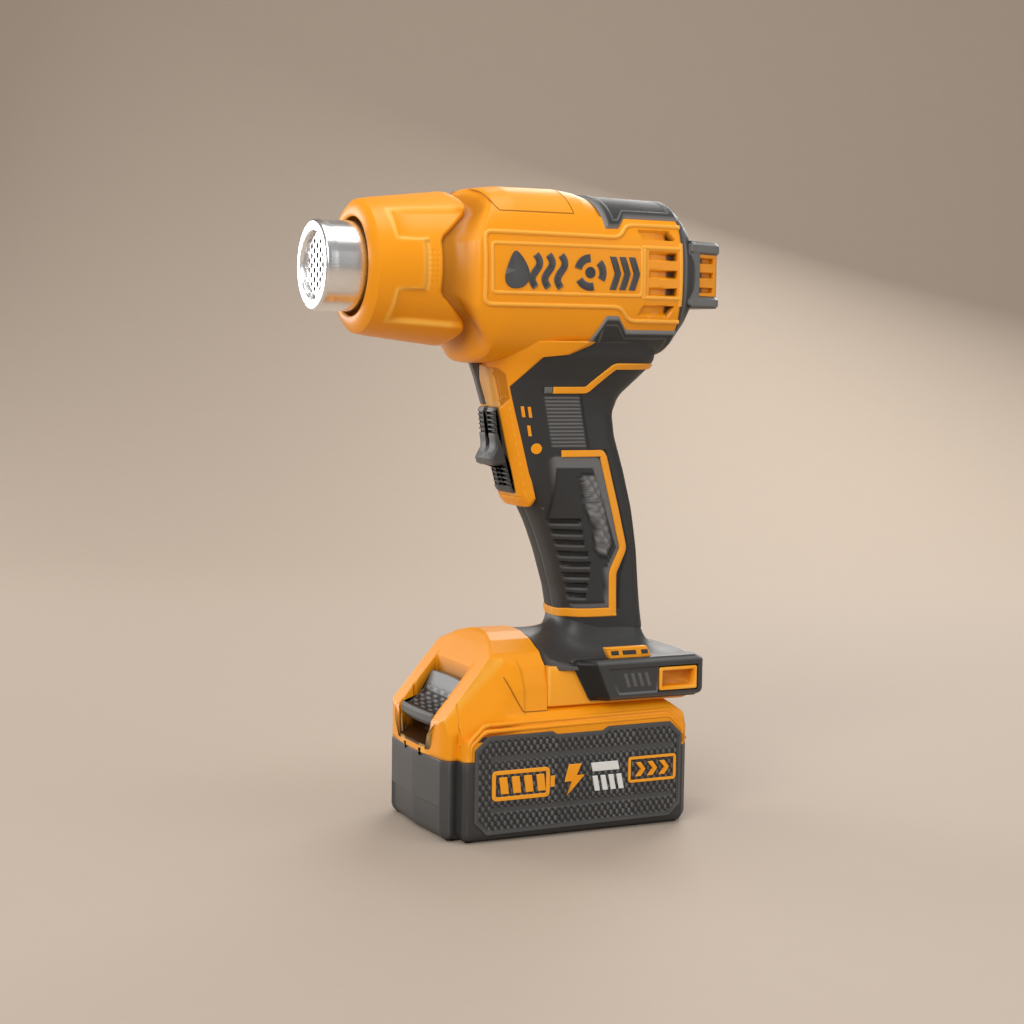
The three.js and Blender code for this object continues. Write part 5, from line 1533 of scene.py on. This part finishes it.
def case_ridges():
    """The two stepped ridges that follow the panel's top edge, the lower one nearer the panel."""
    lines = []
    for lift, corner in ((3.0, 2.2), (5.6, 4.6)):
        path = rounded([(-53.4 - corner * 0.2, 36.0), (-53.6 - corner * 0.2, 40.6 + corner * 0.3),
                        (-47.4, 45.2 + lift), (42.0, 44.4 + lift),
                        (47.8 + corner * 0.3, 39.6 + corner * 0.8), (48.0 + corner * 0.3, 35.4)], 2.0,
                        closed=False)
        path = finer(path, 1.2)
        path[:, 0] = np.clip(path[:, 0], -53.8, 49.6)
        side = along(path[:, 1], (34.0, 37.35), (47.5, 37.3), (50.6, 36.3), (53.0, 34.8))
        normals = np.stack([np.zeros(len(path)), np.ones(len(path)),
                            along(path[:, 1], (46.0, 0.0), (50.0, 0.5), (53.0, 0.8))], axis=1)
        points = np.stack([path[:, 0], side, path[:, 1]], axis=1)
        lines.append(ribbon(points, normals, scaled(ROUND_BEAD, 0.9, 0.75)))
    return lines


def pack_marks():
    """Marks on the panel: a battery with four bars, a bolt, pale bars and a framed row of arrows."""
    lift = 0.42
    orange, pale = [], []
    body = [(38.0, 29.6), (12.6, 29.6), (12.6, 18.4), (38.0, 18.4)]
    orange.append(panel_ribbon(finer(rounded(body, 1.2), 1.0, closed=True), PANEL_FACE + lift, 0.85, 0.4))
    orange.append(decal(panel_side, [(11.4, 26.4), (9.4, 26.4), (9.4, 21.6), (11.4, 21.6)], lift, 0.4))
    for k in range(4):
        x = 35.6 - 5.8 * k
        orange.append(decal(panel_side, [(x, 27.6), (x - 3.6, 27.6), (x - 4.6, 20.4), (x - 1.0, 20.4)], lift,
                            0.4))
    bolt = [(2.6, 30.6), (-3.4, 30.6), (-1.2, 25.6), (-5.0, 25.6), (3.4, 17.2), (1.2, 23.2), (4.6, 23.2)]
    orange.append(decal(panel_side, bolt, lift, 0.4))
    pale.append(decal(panel_side, [(-8.0, 30.4), (-21.0, 30.4), (-22.0, 26.6), (-9.0, 26.6)], lift, 0.4))
    for k in range(4):
        x = -8.8 - 3.9 * k
        pale.append(decal(panel_side, [(x, 24.6), (x - 2.4, 24.6), (x - 3.8, 18.0), (x - 1.4, 18.0)], lift,
                          0.4))
    plate = [(-27.0, 30.8), (-49.6, 30.8), (-49.6, 20.6), (-27.0, 20.6)]
    orange.append(panel_ribbon(finer(rounded(plate, 0.8), 1.0, closed=True), PANEL_FACE + lift, 0.6, 0.4))
    for k in range(3):
        x = -30.0 - 5.9 * k
        orange.append(decal(panel_side, [(x, 28.8), (x - 2.6, 28.8), (x - 4.9, 25.7), (x - 2.6, 22.6),
                                         (x, 22.6), (x - 2.3, 25.7)], lift, 0.4))
    return orange, pale


def button_shell():
    """The release button: a scooped plate in the slope, its profile carried across, with a bowed lip in
    front.

    Short dashes in staggered rows are raised a little and painted paler as highlights; the back of the scoop
    and its rim are painted paler as highlights too, and the floor between the dashes is painted darker as
    shade."""
    y = np.linspace(-16.6, 16.6, 110)[None, :]
    path = np.array([(41.2, 64.0), (42.4, 65.2), (43.6, 65.0), (45.6, 60.6), (47.4, 57.4), (50.6, 54.4),
                     (54.4, 52.0), (56.8, 51.8),
                     (58.0, 52.4), (59.0, 51.4), (59.0, 48.6), (57.6, 46.8), (54.8, 46.4), (46.0, 55.0)])
    ring = finer(path, 0.45, closed=True)
    x = ring[:, :1] + 0.0 * y
    z = ring[:, 1:] + 0.0 * y
    bow = 1.0 - (y / 17.0) ** 2
    row = np.floor((x - 46.0) / 1.5)
    stagger = np.abs((y + 40.0 + 3.8 * (row % 2)) % 7.8 - 3.9)
    within = (x > 46.0) & (x < 55.4) & (z > 50.8) & (np.abs(y) < 15.2) & (z > 104.4 - x)
    dash = within * eased(0.5, 0.25, np.abs((x - 46.0) % 1.5 - 0.75)) * eased(2.2, 1.7, stagger)
    x = x - 1.2 * (1 - bow) * eased(52.0, 58.0, x)
    z = z + 0.5 * bow * eased(56.0, 64.0, z) + 0.25 * dash
    rim = eased(15.6, 16.3, np.abs(y))
    # Painted highlight on the dashes, the scoop's back and its rim; painted shade on the floor between the
    # dashes.
    pale = np.clip(0.55 * eased(58.0, 61.0, z) + 0.3 * eased(56.8, 58.2, x) + 0.5 * dash + 0.3 * rim, 0, 1)
    deep = 0.9 * within * (1.0 - dash) * (1.0 - rim)
    grid = np.stack([x, y + 0.0 * x, z], axis=-1).transpose(1, 0, 2)
    return volume_out(sheet(grid, wrap=True, lids=(True, True), pale=pale.transpose(),
                            deep=deep.transpose()))


# ---------------------------------------------------------------- settings shown in the panel


def colour_property(name, description, default):
    """A colour that the panel shows."""
    return bpy.props.FloatVectorProperty(name=name, description=description, subtype="COLOR", size=3,
                                         min=0.0, max=1.0, default=default)


def size_property(name, description, default, low, high):
    """A length in millimetres that the panel shows."""
    return bpy.props.FloatProperty(name=name, description=description + ", in millimetres", default=default,
                                   min=low, max=high)


class HeatGunColours(bpy.types.PropertyGroup):
    """Colours of the mouldings and the studio."""

    shell: colour_property("Shell", "Colour of the orange shell and the pack's upper case",
                           (0.93, 0.335, 0.004))
    graphite: colour_property("Graphite", "Colour of the cap, foot, bumpers and lower case",
                              (0.05, 0.05, 0.05))
    rubber: colour_property("Rubber", "Colour of the grip and guards", (0.036, 0.036, 0.036))
    floor: colour_property("Floor", "Colour of the studio floor and backdrop", (0.44, 0.36, 0.29))


class HeatGunSizes(bpy.types.PropertyGroup):
    """Sizes that can be changed without changing the frame."""

    wall: size_property("Shell wall", "Thickness of the moulded shells", 1.8, 1.0, 2.4)
    frame_width: size_property("Frame line", "Width of the raised frame on the side", 2.1, 1.0, 3.0)
    frame_height: size_property("Frame height", "Height of the raised frame", 0.95, 0.3, 1.2)
    stripe_width: size_property("Grip stripe", "Width of the orange line in the grip", 2.9, 1.5, 4.0)


HANDS = (("left", dict), ("right", mirrored))


def sides(shells):
    """The shells and their mirror images on the other side."""
    return shells + [mirrored(shell) for shell in shells]


class BuildStage(bpy.types.Operator):
    """Floor, soft lights and the camera."""

    bl_idname = "heat_gun.stage"
    bl_label = "Stage"

    def execute(self, context):
        """A floor that curves up behind the tool, five large lamps and a camera from the left front."""
        across = np.linspace(-2.6, 2.6, 40)[None, :] * 1000
        run = np.concatenate([np.linspace(-1900.0, 900.0, 30),
                              900.0 + 700.0 * np.sin(np.linspace(0.05, np.pi / 2, 16)),
                              np.full(8, 1600.0)])[:, None]
        rise = np.concatenate([np.zeros(30), 700.0 * (1 - np.cos(np.linspace(0.05, np.pi / 2, 16))),
                               np.linspace(800.0, 2400.0, 8)])[:, None]
        away = np.array([-0.4312, -0.9023])
        beside = np.array([-0.9023, 0.4312])
        points = np.stack([run * away[0] + across * beside[0], run * away[1] + across * beside[1],
                           rise - 0.3 + 0.0 * across], axis=-1)
        shell = faced(sheet(points), (0.0, 0.0, -4000.0))
        mesh = bpy.data.meshes.new("studio_floor")
        mesh.from_pydata(shell["points"] * MM, [], shell["quads"].tolist())
        mesh.polygons.foreach_set("use_smooth", np.ones(len(mesh.polygons), bool))
        mesh.materials.append(studio_floor("studio_paper", tuple(context.scene.heat_gun_colours.floor)))
        floor = bpy.data.objects.new("studio_floor", mesh)
        context.scene.collection.objects.link(floor)

        lamps = [("key_light", (1.05, 1.0, 1.0), 0.9, 17.0, (1.0, 0.985, 0.96)),
                 ("fill_light", (-1.2, 1.1, 0.55), 1.2, 6.0, (0.98, 0.99, 1.0)),
                 ("top_light", (0.0, 0.1, 1.5), 1.0, 10.0, (1.0, 1.0, 1.0)),
                 ("lip_light", (0.75, -1.2, 0.35), 0.7, 9.0, (1.0, 1.0, 1.0)),
                 ("rim_light", (-0.9, -0.9, 0.8), 0.8, 10.0, (1.0, 0.99, 0.97))]
        for name, place, size, power, tone in lamps:
            lamp = bpy.data.lights.new(name, "AREA")
            lamp.shape = "SQUARE"
            lamp.size = size
            lamp.energy = power
            lamp.color = tone
            holder = bpy.data.objects.new(name, lamp)
            context.scene.collection.objects.link(holder)
            aim = np.array([0.0, 0.0, 0.14]) - np.array(place)
            back = -aim / np.linalg.norm(aim)
            right = np.cross([0.0, 0.0, 1.0], back) + np.array([1e-6, 0.0, 0.0])
            right /= np.linalg.norm(right)
            up = np.cross(back, right)
            turn = np.eye(4)
            turn[:3, 0], turn[:3, 1], turn[:3, 2], turn[:3, 3] = right, up, back, place
            holder.matrix_world = Matrix(turn.tolist())

        world = bpy.data.worlds.new("studio")
        world.use_nodes = True
        world.node_tree.nodes["Background"].inputs["Color"].default_value = (0.96, 0.95, 0.94, 1.0)
        world.node_tree.nodes["Background"].inputs["Strength"].default_value = 0.28
        context.scene.world = world

        yaw, pitch, roll = np.radians((25.552, 4.981, 0.857))
        back = np.array([np.sin(yaw) * np.cos(pitch), np.cos(yaw) * np.cos(pitch), np.sin(pitch)])
        right = np.cross([0.0, 0.0, 1.0], back)
        right /= np.linalg.norm(right)
        up = np.cross(back, right)
        right, up = right * np.cos(roll) + up * np.sin(roll), up * np.cos(roll) - right * np.sin(roll)
        place = np.array([0.013228, 0.0, 0.136161]) + back * 0.83609
        lens = bpy.data.cameras.new("studio_camera")
        lens.lens = 66.93
        lens.sensor_width = 36.0
        lens.clip_start = 0.01
        lens.clip_end = 20.0
        camera = bpy.data.objects.new("studio_camera", lens)
        turn = np.eye(4)
        turn[:3, 0], turn[:3, 1], turn[:3, 2], turn[:3, 3] = right, up, back, place
        camera.matrix_world = Matrix(turn.tolist())
        context.scene.collection.objects.link(camera)
        context.scene.camera = camera
        context.scene.view_settings.view_transform = "Standard"
        return {"FINISHED"}


class BuildNozzle(bpy.types.Operator):
    """Steel nozzle and its perforated outlet."""

    bl_idname = "heat_gun.nozzle"
    bl_label = "Nozzle"

    def execute(self, context):
        """Turned tube with a rolled lip; staggered cells with round holes."""
        piece("nozzle_shell", [nozzle_shell()], "bright_steel", stands_for=("nozzle_tube",))
        piece("outlet_mesh", perforated_disc(), "bright_steel", stands_for=("nozzle_grille",))
        return {"FINISHED"}


class BuildBarrel(bpy.types.Operator):
    """Orange barrel round the heater."""

    bl_idname = "heat_gun.barrel"
    bl_label = "Barrel"

    def execute(self, context):
        """The barrel is one turned shell with recesses."""
        wall = context.scene.heat_gun_sizes.wall
        piece("barrel_shell", [barrel_shell()], "shell_orange", wall=wall, stands_for=("front_shroud",))
        return {"FINISHED"}


class BuildBlock(bpy.types.Operator):
    """Housing block, its frames, slots, top panel and neck."""

    bl_idname = "heat_gun.block"
    bl_label = "Housing block"

    def execute(self, context):
        """Each side is a rounded section carried along X; lines on it are beads carried along paths."""
        sizes = context.scene.heat_gun_sizes
        half_width, height = sizes.frame_width / 2, sizes.frame_height
        block, neck = block_shell(), neck_shell()
        lines = [side_ribbon(block_side, outer_frame(), half_width, height),
                 side_ribbon(block_side, INNER_FRAME, 0.85, 0.6, closed=True)]
        lines += [side_ribbon(block_side, bar, 0.9, 0.55) for bar in rear_bars()]
        # Painted highlight: the raised frame lines and bars are painted paler.
        for line in lines:
            line["tints"]["pale"] = np.full(len(line["points"]), 0.3)
        for hand, flip in HANDS:
            piece(hand + "_shell", [flip(block), flip(neck)], "shell_orange", wall=sizes.wall,
                  stands_for=(hand + "_housing",))
        piece("side_frames", sides(lines), "shell_orange")
        # The engraved line is a thin dark strip: painted shade standing for its groove.
        engraved = [side_ribbon(block_side, path, 0.28, 0.12, step=0.8,
                                profile=FLAT_STRIP) for path in top_panel_lines()]
        piece("top_panel_line", sides(engraved), "seam_orange")
        piece("side_marks", sides(side_marks()), "dark_print")
        return {"FINISHED"}


class BuildGuards(bpy.types.Operator):
    """Rubber guards, rear cap and tail."""

    bl_idname = "heat_gun.guards"
    bl_label = "Guards and cap"

    def execute(self, context):
        """Guards are patches of the block's skin; the cap and tail are carried sections."""
        upper, lower = guard_patch(True), guard_patch(False)
        piece("top_guard", sides([upper]), "rubber_skin", wall=1.6, stands_for=("rear_top_guard",))
        for hand, flip in HANDS:
            piece(hand + "_lower_guard", [flip(lower)], "rubber_skin", wall=1.6,
                  stands_for=(hand + "_bottom_guard",))
        piece("cap_shell", [cap_shell()] + tail_bars(), "graphite", stands_for=("rear_cap",))
        piece("tail_grille", [tail_grille()], "shell_orange", wall=1.2, stands_for=("rear_grille",))
        return {"FINISHED"}


class BuildGrip(bpy.types.Operator):
    """Rubber grip with its stripes, switch marks and slide switch."""

    bl_idname = "heat_gun.grip"
    bl_label = "Grip and switch"

    def execute(self, context):
        """The grip is the handle's section with moulded relief; stripes are strips carried along paths."""
        half_width = context.scene.heat_gun_sizes.stripe_width / 2
        grip = grip_shell()
        for hand, flip in HANDS:
            piece(hand + "_grip_skin", [flip(grip)], "rubber_skin", wall=1.4, stands_for=(hand + "_grip",))
        upper = rounded(STRIPE_UPPER, 1.2, closed=False)
        lower = rounded(STRIPE_LOWER, 1.6, closed=False)
        stripes = [side_ribbon(handle_side, upper, half_width, 0.5, profile=FLAT_STRIP, lift=0.25),
                   side_ribbon(handle_side, lower[:6], half_width, 0.5, profile=FLAT_STRIP, lift=0.25),
                   side_ribbon(handle_side, lower[4:], half_width + 0.3, 0.5, profile=FLAT_STRIP, lift=0.2),
                   lower_band()]
        piece("grip_stripes", sides(stripes), "mark_orange")
        stub = side_ribbon(handle_side, [(8.4, 190.2), (5.0, 190.2)], half_width - 0.1, 0.4,
                           profile=FLAT_STRIP, lift=0.2, pale=0.45)
        piece("stripe_stub", sides([stub]), "rubber_skin")
        dot = np.linspace(0.0, 2 * np.pi, 24, endpoint=False)
        marks = [decal(handle_side, [(x - 0.9, z - 2.3), (x + 0.4, z - 2.3), (x + 1.3, z + 2.3),
                                     (x, z + 2.3)], 0.1, 0.3)
                 for x, z in ((13.8, 180.6), (16.6, 180.8), (13.6, 172.6))]
        marks.append(decal(handle_side, np.stack([10.4 + 2.3 * np.cos(dot), 164.9 + 2.3 * np.sin(dot)],
                                                 axis=1), 0.1, 0.3))
        piece("switch_marks", sides(marks), "mark_orange")
        side, middle = slider_sides()
        wide = [(-8.7, 0.9), (-8.2, 0.25), (-7.4, 0.0), (-3.7, 0.0), (-2.0, 0.0)]
        shells = [slider_shells(side, wide), slider_shells(side, [(-y, inset) for y, inset in wide[::-1]]),
                  slider_shells(middle, [(-2.2, 0.0), (2.2, 0.0)])]
        piece("slide_switch", shells, "graphite", body="switch", stands_for=("switch_slider",))
        guide = rounded([(30.6, 203.6), (35.6, 203.6), (32.4, 195.6), (28.6, 183.4), (27.0, 183.4),
                         (30.4, 194.5)], 1.0)
        sill, track = neck_sill(), switch_track()
        piece("neck_sill", [sill, track], "shell_orange")
        piece("guide_strip", [slab(guide, [(-1.65, 0.4), (-1.3, 0.0), (1.3, 0.0), (1.65, 0.4)], pale=0.25)],
              "graphite", stands_for=("switch_guide",))
        return {"FINISHED"}


class BuildFoot(bpy.types.Operator):
    """Foot, side bumpers, their inserts and windows."""

    bl_idname = "heat_gun.foot"
    bl_label = "Foot and bumpers"

    def execute(self, context):
        """The foot is rings spread from the handle; each bumper is a relief grid with a hollow for its
        insert."""
        piece("foot_shell", [foot_shell()], "graphite", wall=1.8)
        piece("foot_skirt", [foot_skirt()], "shell_orange")
        bumper, cup = bumper_shell(), socket_cup()
        window, slot_shades = window_insert()
        for hand, flip in HANDS:
            piece(hand + "_bumper", [flip(bumper)], "graphite", stands_for=(hand + "_foot_bumper",))
            piece(hand + "_socket_cup", [flip(cup)], "mark_orange", stands_for=(hand + "_socket_insert",))
            piece(hand + "_window", [flip(window)], "mark_orange", stands_for=(hand + "_window_insert",))
            # Near-black plates on each window: painted shade in place of its slots.
            piece(hand + "_window_slot_shades", [flip(slot) for slot in slot_shades], "near_black")
        return {"FINISHED"}


class BuildPack(bpy.types.Operator):
    """Battery pack: both cases, panels, marks and the release button."""

    bl_idname = "heat_gun.pack"
    bl_label = "Battery pack"

    def execute(self, context):
        """Cases are a draped top and a carried plan; panels carry a woven relief with printed marks."""
        piece("pack_upper", [pack_upper()], "shell_orange", body="battery",
              wall=context.scene.heat_gun_sizes.wall, stands_for=("battery_upper_case",))
        piece("pack_ridges", sides(case_ridges()), "shell_orange", body="battery")
        seams = [side_ribbon(pack_side, path, 0.25, 0.1, step=0.8,
                             profile=FLAT_STRIP) for path in flank_seams()]
        piece("pack_seams", sides(seams), "seam_orange", body="battery")
        piece("pack_lower", [pack_lower()], "graphite", body="battery", stands_for=("battery_lower_case",))
        panel, rim = panel_shell(), panel_rim()
        orange, pale = pack_marks()
        for hand, flip in HANDS:
            piece(hand + "_panel", [flip(panel), flip(rim)], "graphite", body="battery",
                  stands_for=(hand + "_battery_panel",))
            piece(hand + "_panel_marks", [flip(mark) for mark in orange], "mark_orange", body="battery")
            piece(hand + "_panel_print", [flip(mark) for mark in pale], "light_print", body="battery")
        piece("button_scoop", [button_shell()], "graphite", body="release", stands_for=("release_button",))
        return {"FINISHED"}


CARRIED = [
    ("cell_holder", "near_black"), ("cell_", "wrap"), ("battery_board", "board"), ("control_board", "board"),
    ("battery_connector", "near_black"), ("terminal_block", "near_black"), ("terminal", "brass"),
    ("blade", "brass"), ("housing_screw", "plain_steel"), ("latch_spring", "plain_steel"),
    ("heater_sleeve", "plain_steel"), ("heating_coil", "plain_steel"), ("thermal_cutout", "brass"),
    ("heater_core", "ceramic"), ("motor", "plain_steel"), ("fan_duct", "near_black"),
    ("fan_impeller", "near_black"), ("switch_module", "near_black"),
]


class FinishCarriedParts(bpy.types.Operator):
    """Finishes for the inner parts that come with the frame."""

    bl_idname = "heat_gun.carried"
    bl_label = "Inner parts"

    def execute(self, context):
        """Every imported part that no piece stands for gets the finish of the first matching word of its
        name."""
        for name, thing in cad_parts.items():
            chosen = next((look for word, look in CARRIED if word in name), None)
            if chosen is None:
                continue
            thing.data.materials.clear()
            thing.data.materials.append(finish(chosen))
        return {"FINISHED"}


class HeatGunPanel(bpy.types.Panel):
    """Lists the sizes, colours and building steps."""

    bl_idname = "VIEW3D_PT_heat_gun"
    bl_label = "Cordless Heat Gun"
    bl_space_type = "VIEW_3D"
    bl_region_type = "UI"
    bl_category = "Heat Gun"

    def draw(self, context):
        """Colours, then sizes, then one button for each step."""
        layout = self.layout
        for key in ("shell", "graphite", "rubber", "floor"):
            layout.prop(context.scene.heat_gun_colours, key)
        for key in ("wall", "frame_width", "frame_height", "stripe_width"):
            layout.prop(context.scene.heat_gun_sizes, key)
        for step in STEPS:
            layout.operator(step.bl_idname)


STEPS = (BuildStage, BuildNozzle, BuildBarrel, BuildBlock, BuildGuards, BuildGrip, BuildFoot, BuildPack,
         FinishCarriedParts)
CLASSES = (HeatGunColours, HeatGunSizes) + STEPS + (HeatGunPanel,)


def register():
    """Adds the classes and the two groups of settings."""
    for kind in CLASSES:
        bpy.utils.register_class(kind)
    bpy.types.Scene.heat_gun_colours = bpy.props.PointerProperty(type=HeatGunColours)
    bpy.types.Scene.heat_gun_sizes = bpy.props.PointerProperty(type=HeatGunSizes)


def unregister():
    """Removes them again."""
    del bpy.types.Scene.heat_gun_sizes
    del bpy.types.Scene.heat_gun_colours
    for kind in reversed(CLASSES):
        bpy.utils.unregister_class(kind)


def main():
    """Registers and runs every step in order."""
    register()
    for step in STEPS:
        group, action = step.bl_idname.split(".")
        getattr(getattr(bpy.ops, group), action)()


if __name__ == "__main__":
    main()
